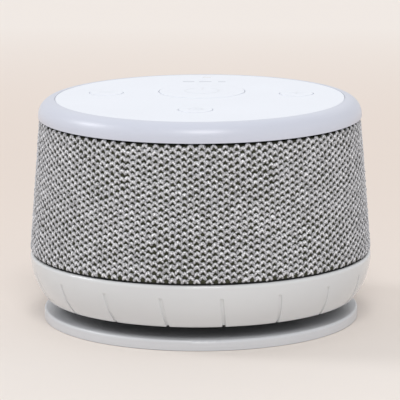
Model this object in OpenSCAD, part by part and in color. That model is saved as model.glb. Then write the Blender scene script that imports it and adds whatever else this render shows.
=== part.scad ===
// White noise sound machine: a fan-driven, fabric-wrapped drum that stands on a flat foot.
// Z is up, the machine rests on z = 0 and its front faces -Y. All lengths are in millimetres.

/* [Foot] */
// Diameter of the flat foot disc
foot_d = 138.6; // [132:0.1:142]
// Thickness of the foot disc
foot_t = 3.8; // [3.4:0.1:5]
// Height of the rubber pads below the foot disc
pad_proud = 0.8; // [0.5:0.1:2]
// Depth of the pads' seats in the foot disc
pad_seat = 1; // [0.6:0.1:1.4]
// Diameter of a rubber pad
pad_d = 14; // [10:0.5:18]
// Diameter of the column between the foot and the body
column_d = 88; // [84:0.5:94]
// Height of the air gap between the foot disc and the collar
outlet_gap = 5.5; // [5.2:0.1:8]

/* [Tone collar] */
// Largest diameter of the turning collar
collar_d = 150.2; // [147:0.1:156]
// Height of the collar
collar_h = 19.9; // [18.5:0.1:24]
// Radius of the curve that draws the collar in towards its lower edge
collar_curve = 29.1; // [27:0.1:34]
// Wall thickness of the collar
collar_wall = 2.4; // [1.8:0.1:3]
// Number of grip grooves round the collar
groove_count = 18; // [12:2:24]
// Width of a grip groove
groove_w = 1.35; // [0.8:0.05:2]
// Depth of a grip groove
groove_depth = 0.6; // [0.3:0.05:1.2]
// Lean of a grip groove from the vertical, in degrees
groove_lean = 8; // [0:0.5:15]
// Turn of the collar from open to closed, in degrees
collar_turn = 20; // [10:1:20]
// Number of tone windows, a multiple of three
window_count = 9; // [6:3:9]

/* [Fabric body] */
// Height of the shadow gap between the collar and the fabric
sleeve_gap = 1.1; // [0.8:0.1:1.4]
// Height of the fabric sleeve
sleeve_h = 57.8; // [55:0.1:75]
// Thickness of the fabric with its backing
sleeve_t = 1.2; // [0.8:0.1:1.6]
// Wall thickness of the grille cage
cage_wall = 1.8; // [1.4:0.1:2.4]
// Number of slots round the grille cage
slot_count = 24; // [16:1:28]

/* [Top] */
// Gap between the fabric and the bezel
bezel_gap = 0.5; // [0.3:0.1:1]
// Diameter of the bezel
bezel_d = 141.8; // [139:0.1:146]
// Height of the bezel
bezel_h = 8; // [8:0.1:12]
// Radius of the bezel's shoulder
bezel_round = 7; // [5:0.1:7]
// Wall thickness of the bezel
bezel_wall = 2.4; // [1.8:0.1:3]
// Thickness of the top plate
plate_t = 2.4; // [2:0.1:2.8]

/* [Controls] */
// Diameter of the power button
power_d = 37.9; // [32:0.1:40]
// Distance of the power button's centre behind the middle
power_y = 16; // [13:0.5:17]
// Diameter of the three small buttons
key_d = 14.7; // [12:0.1:16]
// Distance of the side buttons from the middle line
side_key_x = 42; // [40:0.5:44]
// Distance of the side buttons behind the middle
side_key_y = 11; // [8:0.5:14]
// Distance of the front button before the middle
front_key_y = 33; // [31:0.5:36]
// Ring gap between a button and the plate
key_gap = 0.3; // [0.2:0.05:0.5]
// Travel of a button
key_travel = 0.6; // [0.3:0.1:0.8]
// Distance of the row of lights behind the middle
light_y = 43; // [42:0.5:45]
// Pitch of the row of lights
light_pitch = 7.5; // [7:0.1:8.5]
// Distance of the indicator lens from the plate's edge
indicator_inset = 8; // [7.5:0.1:9]

/* [Tone housing] */
// Distance from the collar's outer face to the inside of the tone housing
housing_inset = 21.1; // [20:0.1:22.5]
// Wall thickness of the tone housing
housing_wall = 2.4; // [2:0.1:2.6]
// Thickness of the base pan
pan_t = 2.6; // [2.4:0.1:3]

/* [Fan and motor] */
// Diameter of the fan impeller
fan_d = 80; // [60:0.5:86]
// Height of the fan impeller
fan_h = 16; // [12:0.1:18]
// Number of impeller blades
blade_count = 22; // [11:1:28]
// Diameter of the motor can
motor_d = 35; // [32:0.1:38]
// Length of the motor can
motor_h = 24; // [22:0.1:25]
// Free height between the motor and the control board
motor_headroom = 5.1; // [4.5:0.1:6]
// Diameter of the motor shaft
shaft_d = 3; // [2.5:0.1:4]
// Height of the rubber isolators
isolator_h = 4; // [3.8:0.1:4.6]

/* [Power socket] */
// Bore of the power socket
jack_bore = 5.6; // [5.5:0.1:6]
// Diameter of the socket's centre pin
jack_pin_d = 2; // [1.6:0.1:2.5]
// Width of the plug's pocket under the foot
pocket_w = 16; // [14:0.5:20]

/* [Hidden] */
$fn = 96;

// Clearances and joints used all over the machine
eps = 0.02;
run_gap = 0.3;
fit_gap = 0.1;
bush_gap = 0.03;
cut = 1;

// Screws: shank radii of the three sizes, the room round shank and head, blind end of a bore
large_screw = 1.5;
medium_screw = 1.2;
small_screw = 1;
screw_clear = 0.2;
head_clear = 0.3;
bore_floor = 1;

// Heights, from the table up
foot_z = pad_proud;
foot_top = foot_z + foot_t;
collar_z = foot_top + outlet_gap;
collar_top = collar_z + collar_h;
sleeve_z = collar_top + sleeve_gap;
sleeve_top = sleeve_z + sleeve_h;
bezel_z = sleeve_top + bezel_gap;
top_z = bezel_z + bezel_h;
plate_z = top_z - plate_t;

// Tone collar, shutter and the housing that they turn round
collar_r = collar_d / 2;
collar_rim = 0.7;
collar_axis_r = collar_r - collar_curve;
collar_axis_z = collar_top - collar_rim;
collar_lip = 1;
collar_foot_round = 1.2;
shutter_wall = 2;
shutter_flange_sink = 0.2;
shutter_flange_t = 1.8;
shutter_flange_top = collar_top - shutter_flange_sink;
shutter_flange_z = shutter_flange_top - shutter_flange_t;
shutter_flange_r = collar_r - collar_wall - fit_gap;
lug_r = 3.2;
lug_h = 5;
lug_circle = shutter_flange_r - lug_r + 0.7;
collar_screw_recess = 0.9;
housing_in_r = collar_r - housing_inset;
housing_r = housing_in_r + housing_wall;
shutter_in_r = housing_r + run_gap;
shutter_r = shutter_in_r + shutter_wall;
pan_recess = 0.9;
pan_lip = 1.8;
pan_z = collar_z + pan_recess;
pan_top = pan_z + pan_t;
pan_r = shutter_r + pan_lip;
pan_screw_recess = 1.4;
pan_screw_grip = 5;
pan_edge = 0.3;
pan_round = 0.8;
pan_boss_r = 3.6;
pan_boss_h = 2.8;
pan_rib_h = 2;
pan_rib_t = 1.2;
pan_ring_r = 10;
pan_ring_wall = 2;
glide_t = 1;
glide_top = pan_top + glide_t;
shutter_z = glide_top + run_gap;
window_sill = 1.6;
window_head = 3;
window_z = shutter_z + window_sill;
window_h = shutter_flange_z - window_head - window_z;
window_pitch = 360 / window_count;
window_overlap = 1;
window_span = collar_turn - 2 * window_overlap;
flange_lift = 0.6;
flange_inset = 4.7;
flange_z = collar_top + flange_lift;
flange_t = 2.2;
flange_top = flange_z + flange_t;
flange_r = collar_r - flange_inset;
cage_screw_recess = 1.2;
housing_boss_r = 3.4;
housing_boss_bite = 0.8;
housing_boss_circle = housing_in_r - housing_boss_r + housing_boss_bite;
housing_boss_h = 9;
boss_count = 3;
boss_start = window_pitch - 90;
stop_pin_r = 1.5;
stop_circle = shutter_r + 6.3;
stop_pin_drop = 0.6;
stop_slot_r = stop_pin_r + run_gap + 0.1;
stop_angle = 10;
groove_pitch = 360 / groove_count;
groove_band = 6.1;
groove_top = collar_top - groove_band;

// Fabric sleeve and the cage that it is stretched over
bezel_r = bezel_d / 2;
sleeve_inset = 0.1;
bezel_inset = 0.03;
sleeve_r0 = collar_r - sleeve_inset;
sleeve_r1 = bezel_r - bezel_inset;
sleeve_lip = flange_top - sleeve_z - fit_gap;
sleeve_hem_gap = 0.4;
sleeve_edge = 0.8;
sleeve_roll = 1.6;
sleeve_turn_in = 4;
cage_z = flange_top;
cage_top = sleeve_top - sleeve_t - fit_gap;
cage_foot_t = 2.4;
cage_flange_t = 2;
cage_flange_drop = 3.6;
cage_flange_z = cage_top - cage_flange_drop;
cage_seat_r = flange_r - 4.4;
cage_screw_circle = flange_r - 2.2;
slot_rows = 3;
slot_gap = 3.4;
slot_w = 12.8;
slot_sill = 6;
slot_head = 2;

// Top bezel and plate
bezel_rim = 0.35;
plate_gap = 0.15;
plate_edge = 0.2;
ledge_w = 3.8;
ledge_t = 2.6;
seat_r = bezel_r - bezel_round - bezel_rim;
plate_r = seat_r - plate_gap;
ledge_r = seat_r - ledge_w;
ledge_z = plate_z - ledge_t;
bezel_boss_r = 2.8;
bezel_screw_circle = ledge_r + bezel_boss_r + 1;
bezel_screw_l = 7;
cage_flange_r = ledge_r + 0.7;
hook_t = 1.6;
hook_w = 6;
hook_reach = 1.6;
hook_r = ledge_r - 0.5;
hook_count = 6;

// Buttons, switches and the board that hangs under the plate
power_r = power_d / 2;
key_r = key_d / 2;
key_edge = 0.25;
key_foot_edge = 0.1;
key_wall = 1.8;
key_rim = 1.2;
key_rim_t = 1.4;
key_rim_z = plate_z - run_gap - key_rim_t;
stem_r = 2.5;
stem_root = 0.9;
frame_t = 1.4;
frame_drop = 4.6;
frame_z = plate_z - frame_drop;
frame_arm_w = 12;
board_t = 1.6;
board_drop = 11.4;
board_z = plate_z - board_drop;
board_top = board_z + board_t;
board_r = ledge_r - 0.8;
board_post_r = 3.2;
board_post_at = 34;
board_screw_grip = 5;
switch_h = 3.6;
switch_w = 6;
plunger_r = 1.6;
plunger_h = 2.3;
plunger_proud = 1.1;
plunger_z = board_top + switch_h + plunger_proud - plunger_h;
plunger_top = plunger_z + plunger_h;
light_w = [5, 5.5, 3.2];
light_t = 1.3;
light_gap = 0.1;
light_bar_t = 2;
light_bar_w = 3;
light_bar_z = plate_z - light_gap - light_bar_t;
led_l = 3.2;
led_w = 1.2;
led_h = 0.8;
light_leg_l = 2.8;
light_leg_w = 1;
indicator_y = plate_r - indicator_inset;
indicator_r = 1.9;
indicator_rim = 0.6;
indicator_leg_r = 1.2;
guide_at = [for (a = [30, 150, 270]) [power_r * 0.74 * cos(a), power_r * 0.74 * sin(a)]];
guide_r = 1.6;
guide_dip = 0.2;
frame_post_x = (power_r + side_key_x - key_r) / 2;
frame_post_y = (power_r - power_y + front_key_y - key_r) / 2;
frame_posts = [[frame_post_x, side_key_y], [-frame_post_x, side_key_y], [0, -frame_post_y]];
frame_post_r = 2.4;
frame_screw_grip = 3;
keys = [[-side_key_x, side_key_y], [side_key_x, side_key_y], [0, -front_key_y]];

// Parts on the underside of the board
control_chip_at = [-20, -24];
control_chip_w = 9;
control_chip_t = 1.2;
driver_chip_at = [12, -24];
driver_chip_l = 6;
driver_chip_w = 5;
driver_chip_t = 1.6;
capacitor_at = [27, -14];
capacitor_r = 3.15;
capacitor_h = 5.4;
connector_l = 8;
connector_w = 6;
connector_h = 5;
connector_z = board_z - connector_h;
connector_mid_z = board_z - connector_h / 2;
power_socket_y = -38;
motor_socket_x = 20;

// Fan, motor and their mounting on the chamber lid, from the board down
lid_t = 2.4;
lid_screw_grip = 6;
lid_hole_clear = 2.5;
bracket_t = 1.6;
bracket_rim = 1;
bracket_arm_w = 10;
bracket_screw_grip = 1.6;
can_t = 1;
cap_t = 2.5;
cap_spigot = 1;
cap_top = board_z - motor_headroom;
motor_top = cap_top - cap_t;
motor_z = motor_top - motor_h;
bracket_z = motor_z - bracket_t;
lid_top = bracket_z - isolator_h;
housing_top = lid_top - lid_t;
motor_r = motor_d / 2;
shaft_r = shaft_d / 2;
shaft_end = 1.2;
bush_wall = 2;
bush_r = shaft_r + bush_wall;
bush_h = 4;
bush_proud = 0.5;
boss_wall = 1.5;
boss_r = bush_r + boss_wall;
boss_drop = 2.6;
isolator_circle = 24;
isolator_r = 4.5;
isolator_waist = 0.7;
isolator_rim = 1.2;
isolator_boss_h = 3;
motor_screw_circle = 12.5;
motor_screw_end = 1;
inlet_r = 6.2;
inlet_circle = 36;
inlet_count = 9;
inlet_start = 10;
terminal_x = 8;
terminal_t = 0.8;
terminal_w = 3;
terminal_h = 2.2;
fan_lift = 4.8;
fan_z = pan_top + fan_lift;
fan_r = fan_d / 2;
fan_plate_t = 1.4;
fan_ring_w = 4;
blade_t = 1.2;
blade_lean = 25;
hub_r = 6;
insert_r = 3.4;
insert_proud = 1.2;
hub_h = fan_h - 2;
set_screw_r = 1.25;
set_screw_drop = 4;
set_screw_z = fan_z + hub_h - set_screw_drop;
washer_r = 3;
washer_t = 0.5;
armature_r = motor_r - 5.3;
armature_lift = 4.5;
armature_z = motor_z + armature_lift;
armature_h = motor_h - 10;
armature_slot_w = 2.4;
armature_slot_l = 4;
commutator_r = 3.4;
commutator_h = 3;
magnet_r = motor_r - can_t - fit_gap;
magnet_in_r = armature_r + 0.8;
magnet_lift = 3.5;
magnet_gap = 7;

// Foot column, its screws and the power socket's pocket
foot_r = foot_d / 2;
foot_round = 1;
foot_edge = 0.6;
column_r = column_d / 2;
column_wall = 2.5;
foot_screw_circle = column_r - 5.5;
foot_screw_recess = 2.2;
foot_screw_grip = 1.6;
foot_boss_r = 4.2;
pad_circle = (column_r + foot_r) / 2 - 0.6;
pad_r = pad_d / 2;
pad_edge = 0.4;
jack_l = 13.6;
jack_w = 10;
jack_h = 9;
jack_y = 3;
jack_depth = 9.5;
jack_mouth = 0.6;
jack_pin_l = 8;
jack_pin_tip = 0.6;
tab_x = 3.2;
tab_t = 0.6;
tab_l = 1.6;
tab_h = 2.4;
tab_drop = 3.5;
jack_top = pan_z - 0.8;
jack_z = jack_top - jack_h;
jack_mid_z = jack_top - jack_h / 2;
jack_back = jack_y - jack_l;
pocket_back = jack_back - 2;
pocket_wall = 2;

// Leads kept inside the machine
power_lead_r = 1.5;
motor_lead_r = 1;
lead_clear = 0.5;
power_lead_z = jack_mid_z + 2;
lead_up_y = -(housing_in_r - power_lead_r - 1.2);
pan_hole_y = -27.5;
pan_hole_l = 17;

// A round tube standing on z0
module tube(r_out, r_in, z0, h) {
    translate([0, 0, z0])
        difference() {
            cylinder(r = r_out, h = h);
            translate([0, 0, -cut])
                cylinder(r = r_in, h = h + 2 * cut);
        }
}

// A round bar standing on z0
module rod(r, z0, h) {
    translate([0, 0, z0])
        cylinder(r = r, h = h);
}

// Copies its children round the axis
module around(count, start = 0) {
    for (i = [0 : count - 1])
        rotate([0, 0, start + i * 360 / count])
            children();
}

// Head radius of a screw whose shank has radius r
function head_r(r) = 1.9 * r;

// A pan head screw with a cross recess; the head hangs below z and the shank points up
module screw_up(z, r, length) {
    head_r = head_r(r);
    head_h = 1.1 * r;
    difference() {
        union() {
            rod(head_r, z - head_h, head_h);
            rod(r, z - eps, length + eps);
        }
        for (turn = [0, 90])
            rotate([0, 0, turn])
                translate([0, 0, z - head_h])
                    cube([head_r * 1.2, head_r * 0.3, head_h], center = true);
    }
}

// The same screw turned over: head above z, shank down
module screw_down(z, r, length) {
    translate([0, 0, z])
        mirror([0, 0, 1])
            screw_up(0, r, length);
}

// Half section of a disc with rounded upper and lower edges, standing on y = 0
module slab_section(r, t, upper, lower) {
    translate([0, lower])
        square([r, t - lower - upper]);
    square([r - lower, t / 2]);
    translate([0, t / 2])
        square([r - upper, t / 2]);
    translate([r - lower, lower])
        circle(r = lower);
    translate([r - upper, t - upper])
        circle(r = upper);
}

// Catmull-Rom curve through the points, with steps pieces between each two
function curve_at(a, b, c, d, t) =
    0.5 * (2 * b + (c - a) * t + (2 * a - 5 * b + 4 * c - d) * t * t
    + (3 * b - a - 3 * c + d) * t * t * t);
function curve(p, steps) = concat(
    [for (i = [0 : len(p) - 2], s = [0 : steps - 1])
        curve_at(p[max(i - 1, 0)], p[i], p[i + 1], p[min(i + 2, len(p) - 1)], s / steps)],
    [p[len(p) - 1]]);
function along(p, i) =
    let (d = p[min(i + 1, len(p) - 1)] - p[max(i - 1, 0)])
    d / norm(d);

// A lead swept along a curve that lies in the plane whose normal is side
module lead(points, r, side) {
    path = curve(points, 4);
    sides = 8;
    rings = len(path);
    ring_points = [for (i = [0 : rings - 1], k = [0 : sides - 1])
        path[i] + r * (cos(360 * k / sides) * side
            + sin(360 * k / sides) * cross(along(path, i), side))];
    walls = [for (i = [0 : rings - 2], k = [0 : sides - 1])
        let (m = (k + 1) % sides)
        [i * sides + k, i * sides + m, (i + 1) * sides + m, (i + 1) * sides + k]];
    first_end = [[for (k = [sides - 1 : -1 : 0]) k]];
    last_end = [[for (k = [0 : sides - 1]) (rings - 1) * sides + k]];
    polyhedron(points = ring_points, faces = concat(walls, first_end, last_end));
}

// ---------------------------------------------------------------- foot

// Four rubber pads, chamfered where they meet the table
module foot_pads() {
    color("#2b2b2c")
        around(4, 45)
            translate([pad_circle, 0, 0]) {
                cylinder(r1 = pad_r - pad_edge, r2 = pad_r, h = pad_edge);
                rod(pad_r, pad_edge, pad_proud + pad_seat - pad_edge);
            }
}

// Moulded foot disc with pad seats, screw recesses and the plug's pocket
module foot_disc() {
    color("#dcdcdf")
        difference() {
            translate([0, 0, foot_z])
                rotate_extrude()
                    slab_section(foot_r, foot_t, foot_round, foot_edge);
            around(4, 45)
                translate([pad_circle, 0, 0])
                    rod(pad_r + fit_gap, foot_z - cut, pad_seat + cut);
            around(4, 45)
                translate([foot_screw_circle, 0, 0]) {
                    rod(large_screw + screw_clear, foot_z - cut, foot_t + 2 * cut);
                    rod(head_r(large_screw) + head_clear, foot_z - cut, foot_screw_recess + cut);
                }
            translate([-pocket_w / 2, pocket_back, foot_z - cut])
                cube([pocket_w, column_r - pocket_back, foot_t + 2 * cut]);
        }
}

// Dark column that lifts the body off the foot and holds the socket in its pocket
module foot_column() {
    h = pan_z - foot_top;
    roof = pan_z - jack_top;
    color("#1d1d1f")
        difference() {
            union() {
                tube(column_r, column_r - column_wall, foot_top, h);
                around(4, 45)
                    translate([foot_screw_circle, 0, 0])
                        rod(foot_boss_r, foot_top + fit_gap, h - 2 * fit_gap);
                translate([-pocket_w / 2 - pocket_wall, pocket_back - pocket_wall, foot_top])
                    cube([pocket_w + 2 * pocket_wall, column_r - pocket_back, h]);
            }
            translate([-pocket_w / 2, jack_y, foot_top - cut])
                cube([pocket_w, column_r, h + cut - roof]);
            translate([-jack_w / 2 - fit_gap, pocket_back, foot_top - cut])
                cube([jack_w + 2 * fit_gap, jack_y + cut - pocket_back, h + cut - roof]);
            translate([0, pocket_back + cut, power_lead_z])
                rotate([90, 0, 0])
                    cylinder(r = power_lead_r + lead_clear, h = pocket_wall + 2 * cut);
            around(4, 45)
                translate([foot_screw_circle, 0, 0])
                    rod(large_screw + screw_clear, foot_top - cut, h + 2 * cut);
        }
}

// Screws that tie foot, column and base pan together
module foot_screws() {
    seat = foot_z + foot_screw_recess;
    color("#8f9296")
        around(4, 45)
            translate([foot_screw_circle, 0, 0])
                screw_up(seat, large_screw, pan_top + foot_screw_grip - seat);
}

// Power socket, mouth to the rear, with two solder tabs behind it
module dc_jack() {
    color("#161617")
        difference() {
            union() {
                translate([-jack_w / 2, jack_back, jack_z])
                    cube([jack_w, jack_l, jack_h]);
                for (side = [-1, 1])
                    translate([side * tab_x - tab_t / 2, jack_back - tab_l, jack_mid_z - tab_drop])
                        cube([tab_t, tab_l + eps, tab_h]);
            }
            translate([0, jack_y + cut, jack_mid_z])
                rotate([90, 0, 0])
                    cylinder(d = jack_bore, h = jack_depth + cut);
            translate([0, jack_y + cut, jack_mid_z])
                rotate([90, 0, 0])
                    cylinder(d = jack_bore + 2 * jack_mouth, h = jack_mouth + cut);
        }
}

// Centre pin of the socket, rising from the bottom of its bore
module dc_jack_pin() {
    color("#c9c4b4")
        translate([0, jack_y - jack_depth, jack_mid_z])
            rotate([-90, 0, 0]) {
                cylinder(d = jack_pin_d, h = jack_pin_l);
                translate([0, 0, jack_pin_l])
                    cylinder(d1 = jack_pin_d, d2 = jack_pin_d / 2, h = jack_pin_tip);
            }
}

// ---------------------------------------------------------------- base pan and tone parts

// Floor of the fan chamber, with ribs, screw bosses and a hole for the power lead
module base_pan() {
    color("#26272a")
        difference() {
            union() {
                translate([0, 0, pan_z])
                    rotate_extrude()
                        slab_section(pan_r, pan_t, pan_edge, pan_round);
                around(4, 45)
                    translate([foot_screw_circle, 0, 0])
                        rod(pan_boss_r, pan_top - eps, pan_boss_h + eps);
                around(6, 0)
                    translate([pan_ring_r - pan_ring_wall, -pan_rib_t / 2, pan_top - eps])
                        cube([fan_r * 0.95, pan_rib_t, pan_rib_h + eps]);
                tube(pan_ring_r, pan_ring_r - pan_ring_wall, pan_top - eps, pan_rib_h + eps);
            }
            around(4, 45)
                translate([foot_screw_circle, 0, 0])
                    rod(large_screw + eps, pan_z - cut, pan_t + cut + pan_boss_h - 0.8);
            around(boss_count, boss_start)
                translate([housing_boss_circle, 0, 0]) {
                    rod(medium_screw + screw_clear, pan_z - cut, pan_t + 2 * cut);
                    rod(head_r(medium_screw) + head_clear, pan_z - cut, pan_screw_recess + cut);
                }
            translate([-power_lead_r - lead_clear, pan_hole_y - pan_hole_l / 2, pan_z - cut])
                cube([2 * (power_lead_r + lead_clear), pan_hole_l, pan_t + 2 * cut]);
        }
}

// Screws from below that hold the tone housing down on the base pan
module pan_screws() {
    color("#8f9296")
        around(boss_count, boss_start)
            translate([housing_boss_circle, 0, 0])
                screw_up(pan_z + pan_screw_recess, medium_screw, pan_t + pan_screw_grip);
}

// Slippery ring on the pan that carries the turning shutter
module glide_ring() {
    color("#efeee9")
        tube(pan_r - run_gap, housing_r + run_gap, pan_top, glide_t);
}

// Curved slot in which a pin of half the slot's width travels through span degrees
module arc_slot(r, w, z0, h, start, span) {
    end = asin(w / 2 / r);
    intersection() {
        tube(r + w / 2, r - w / 2, z0, h);
        translate([0, 0, z0 - cut])
            linear_extrude(h + 2 * cut)
                polygon([for (k = [[0, 0], [2 * r, start - end], [2 * r, start + span + end]])
                    [k[0] * cos(k[1]), k[0] * sin(k[1])]]);
    }
}

// Row of tone windows through a wall of radius r
module tone_windows(r) {
    w = 2 * r * sin(window_span / 2);
    around(window_count, boss_start - window_pitch / 2)
        translate([r - housing_wall - cut, -w / 2, window_z])
            cube([housing_wall + 2 * cut, w, window_h]);
}

// Drum round the fan with tone windows, and the flange that carries cage and fabric
module tone_housing() {
    color("#2e2f33")
        difference() {
            union() {
                tube(housing_r, housing_in_r, pan_top, housing_top - pan_top);
                tube(flange_r, housing_r - housing_wall / 2, flange_z, flange_t);
                around(boss_count, boss_start)
                    translate([housing_boss_circle, 0, 0]) {
                        rod(housing_boss_r, pan_top + fit_gap, housing_boss_h - fit_gap);
                        rod(housing_boss_r, housing_top - housing_boss_h,
                            housing_boss_h - fit_gap);
                    }
            }
            tone_windows(housing_r);
            around(boss_count, boss_start)
                translate([housing_boss_circle, 0, 0]) {
                    rod(medium_screw + eps, pan_top - cut, housing_boss_h - bore_floor + cut);
                    rod(medium_screw + eps, housing_top - housing_boss_h + bore_floor,
                        housing_boss_h);
                }
            arc_slot(stop_circle, 2 * stop_slot_r, flange_z - cut, flange_t + 2 * cut,
                stop_angle, collar_turn);
            around(4, 45)
                translate([cage_screw_circle, 0, 0]) {
                    rod(small_screw + screw_clear, flange_z - cut, flange_t + 2 * cut);
                    rod(head_r(small_screw) + head_clear, flange_z - cut, cage_screw_recess + cut);
                }
        }
}

// Outline of the turning collar's half section, filled in to the axis
module collar_outline() {
    foot_x = collar_axis_r + sqrt(pow(collar_curve - collar_foot_round, 2)
        - pow(collar_axis_z - collar_z - collar_foot_round, 2));
    foot = [foot_x, collar_z + collar_foot_round];
    axis = [collar_axis_r, collar_axis_z];
    beyond = foot + (foot - axis) * 0.2;
    difference() {
        union() {
            intersection() {
                translate(axis)
                    circle(r = collar_curve, $fn = 180);
                translate([0, collar_z])
                    square([collar_r, collar_axis_z - collar_z]);
            }
            translate([0, collar_axis_z])
                square([collar_r - collar_lip, collar_top - collar_axis_z]);
            intersection() {
                translate([collar_r - collar_lip, collar_top - collar_lip])
                    circle(r = collar_lip);
                translate([0, collar_axis_z - eps])
                    square([collar_r, collar_lip]);
            }
        }
        difference() {
            polygon([foot, [foot[0], collar_z - cut], [beyond[0] + 5, collar_z - cut], beyond]);
            translate(foot)
                circle(r = collar_foot_round);
        }
    }
}

// Half section of the collar's curved shell
module collar_section() {
    difference() {
        collar_outline();
        intersection() {
            translate([collar_axis_r, collar_axis_z])
                circle(r = collar_curve - collar_wall, $fn = 180);
            translate([0, collar_z - cut])
                square([collar_r, collar_axis_z - collar_z + cut]);
        }
        translate([0, collar_axis_z])
            square([collar_r - collar_wall, collar_rim + cut]);
        translate([0, collar_z - cut])
            square([collar_axis_r, collar_h + 2 * cut]);
    }
}

// White collar that turns to open and close the tone windows, with lugs for the shutter
module tone_collar() {
    color("#dededf")
        difference() {
            union() {
                rotate_extrude()
                    collar_section();
                around(boss_count, boss_start)
                    translate([lug_circle, 0, 0])
                        rod(lug_r, shutter_flange_z - lug_h, lug_h);
            }
            intersection() {
                rotate_extrude()
                    difference() {
                        translate([collar_axis_r, collar_z - cut])
                            square([collar_curve + cut, groove_top - collar_z + cut]);
                        translate([collar_axis_r, collar_axis_z])
                            circle(r = collar_curve - groove_depth, $fn = 180);
                    }
                around(groove_count, -90 + groove_pitch / 2)
                    translate([0, 0, groove_top])
                        rotate([groove_lean, 0, 0])
                            translate([collar_axis_r, -groove_w / 2, -collar_h])
                                cube([collar_curve + cut, groove_w, collar_h + cut]);
            }
            around(boss_count, boss_start)
                translate([lug_circle, 0, 0])
                    rod(small_screw + eps, shutter_flange_z - lug_h + bore_floor, lug_h);
        }
}

// Shutter that turns with the collar round the tone housing, with its flange and stop pin
module tone_shutter() {
    color("#3a3b3f")
        difference() {
            union() {
                tube(shutter_r, shutter_in_r, shutter_z, shutter_flange_top - shutter_z);
                tube(shutter_flange_r, shutter_r - shutter_wall / 2, shutter_flange_z,
                    shutter_flange_t);
                rotate([0, 0, stop_angle])
                    translate([stop_circle, 0, 0])
                        rod(stop_pin_r, shutter_flange_top - eps,
                            flange_top - stop_pin_drop - shutter_flange_top + eps);
            }
            tone_windows(shutter_r);
            around(boss_count, boss_start)
                translate([lug_circle, 0, 0]) {
                    rod(small_screw + screw_clear, shutter_flange_z - cut,
                        shutter_flange_t + 2 * cut);
                    rod(head_r(small_screw) + head_clear,
                        shutter_flange_top - collar_screw_recess, collar_screw_recess + cut);
                }
        }
}

// Screws that hold the shutter's flange on the collar's lugs
module collar_screws() {
    seat = shutter_flange_top - collar_screw_recess;
    color("#8f9296")
        around(boss_count, boss_start)
            translate([lug_circle, 0, 0])
                screw_down(seat, small_screw, seat - shutter_flange_z + lug_h - 1.4 * bore_floor);
}

// ---------------------------------------------------------------- fan and motor

// Lid of the fan chamber with air inlets round the motor's mounting
module chamber_lid() {
    color("#2e2f33")
        difference() {
            union() {
                rod(housing_r, housing_top, lid_t);
                around(3, 90)
                    translate([isolator_circle, 0, 0])
                        rod(isolator_r, housing_top - isolator_boss_h, isolator_boss_h + eps);
            }
            rod(boss_r + lid_hole_clear, housing_top - cut, lid_t + 2 * cut);
            around(inlet_count, inlet_start)
                translate([inlet_circle, 0, 0])
                    rod(inlet_r, housing_top - cut, lid_t + 2 * cut);
            around(3, 90)
                translate([isolator_circle, 0, 0])
                    rod(large_screw + eps, housing_top - isolator_boss_h + bore_floor,
                        isolator_boss_h + lid_t);
            around(boss_count, boss_start)
                translate([housing_boss_circle, 0, 0])
                    rod(medium_screw + screw_clear, housing_top - cut, lid_t + 2 * cut);
            translate([0, lead_up_y, 0])
                rod(power_lead_r + lead_clear, housing_top - cut, lid_t + 2 * cut);
        }
}

// Screws that hold the lid on the tone housing
module lid_screws() {
    color("#8f9296")
        around(boss_count, boss_start)
            translate([housing_boss_circle, 0, 0])
                screw_down(lid_top, medium_screw, lid_t + lid_screw_grip);
}

// Pressed steel spider that carries the motor
module motor_bracket() {
    color("#b4b8bc")
        difference() {
            union() {
                rod(motor_r + bracket_rim, bracket_z, bracket_t);
                around(3, 90) {
                    translate([0, -bracket_arm_w / 2, bracket_z])
                        cube([isolator_circle, bracket_arm_w, bracket_t]);
                    translate([isolator_circle, 0, 0])
                        rod(bracket_arm_w / 2, bracket_z, bracket_t);
                }
            }
            rod(boss_r + fit_gap, bracket_z - cut, bracket_t + 2 * cut);
            around(3, 90)
                translate([isolator_circle, 0, 0])
                    rod(large_screw + screw_clear, bracket_z - cut, bracket_t + 2 * cut);
            around(2, 0)
                translate([motor_screw_circle, 0, 0])
                    rod(medium_screw + screw_clear, bracket_z - cut, bracket_t + 2 * cut);
        }
}

// Rubber isolators between lid and bracket, waisted so that they give
module isolators() {
    color("#3b3b3d")
        around(3, 90)
            translate([isolator_circle, 0, 0])
                difference() {
                    rod(isolator_r, lid_top, isolator_h);
                    tube(isolator_r + cut, isolator_r - isolator_waist, lid_top + isolator_rim,
                        isolator_h - 2 * isolator_rim);
                    rod(large_screw + screw_clear, lid_top - cut, isolator_h + 2 * cut);
                }
}

// Screws through bracket and isolators into the lid
module bracket_screws() {
    color("#8f9296")
        around(3, 90)
            translate([isolator_circle, 0, 0])
                screw_down(motor_z, large_screw, bracket_t + isolator_h + lid_t + bracket_screw_grip);
}

// Drawn steel can of the motor with the boss that holds its lower bush
module motor_can() {
    color("#c3c7ca")
        difference() {
            union() {
                rod(motor_r, motor_z, motor_h);
                rod(boss_r, motor_z - boss_drop, boss_drop + eps);
            }
            rod(motor_r - can_t, motor_z + can_t, motor_h);
            rod(bush_r + eps, motor_z - boss_drop - cut, boss_drop + 2 * can_t + cut);
            around(2, 0)
                translate([motor_screw_circle, 0, 0])
                    rod(medium_screw + eps, motor_z - cut, can_t + 2 * cut);
        }
}

// Two arc magnets inside the can
module motor_magnets() {
    color("#4a4c50")
        difference() {
            tube(magnet_r, magnet_in_r, motor_z + magnet_lift, motor_h - 8);
            translate([-motor_r, -magnet_gap / 2, motor_z])
                cube([motor_d, magnet_gap, motor_h]);
        }
}

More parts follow.
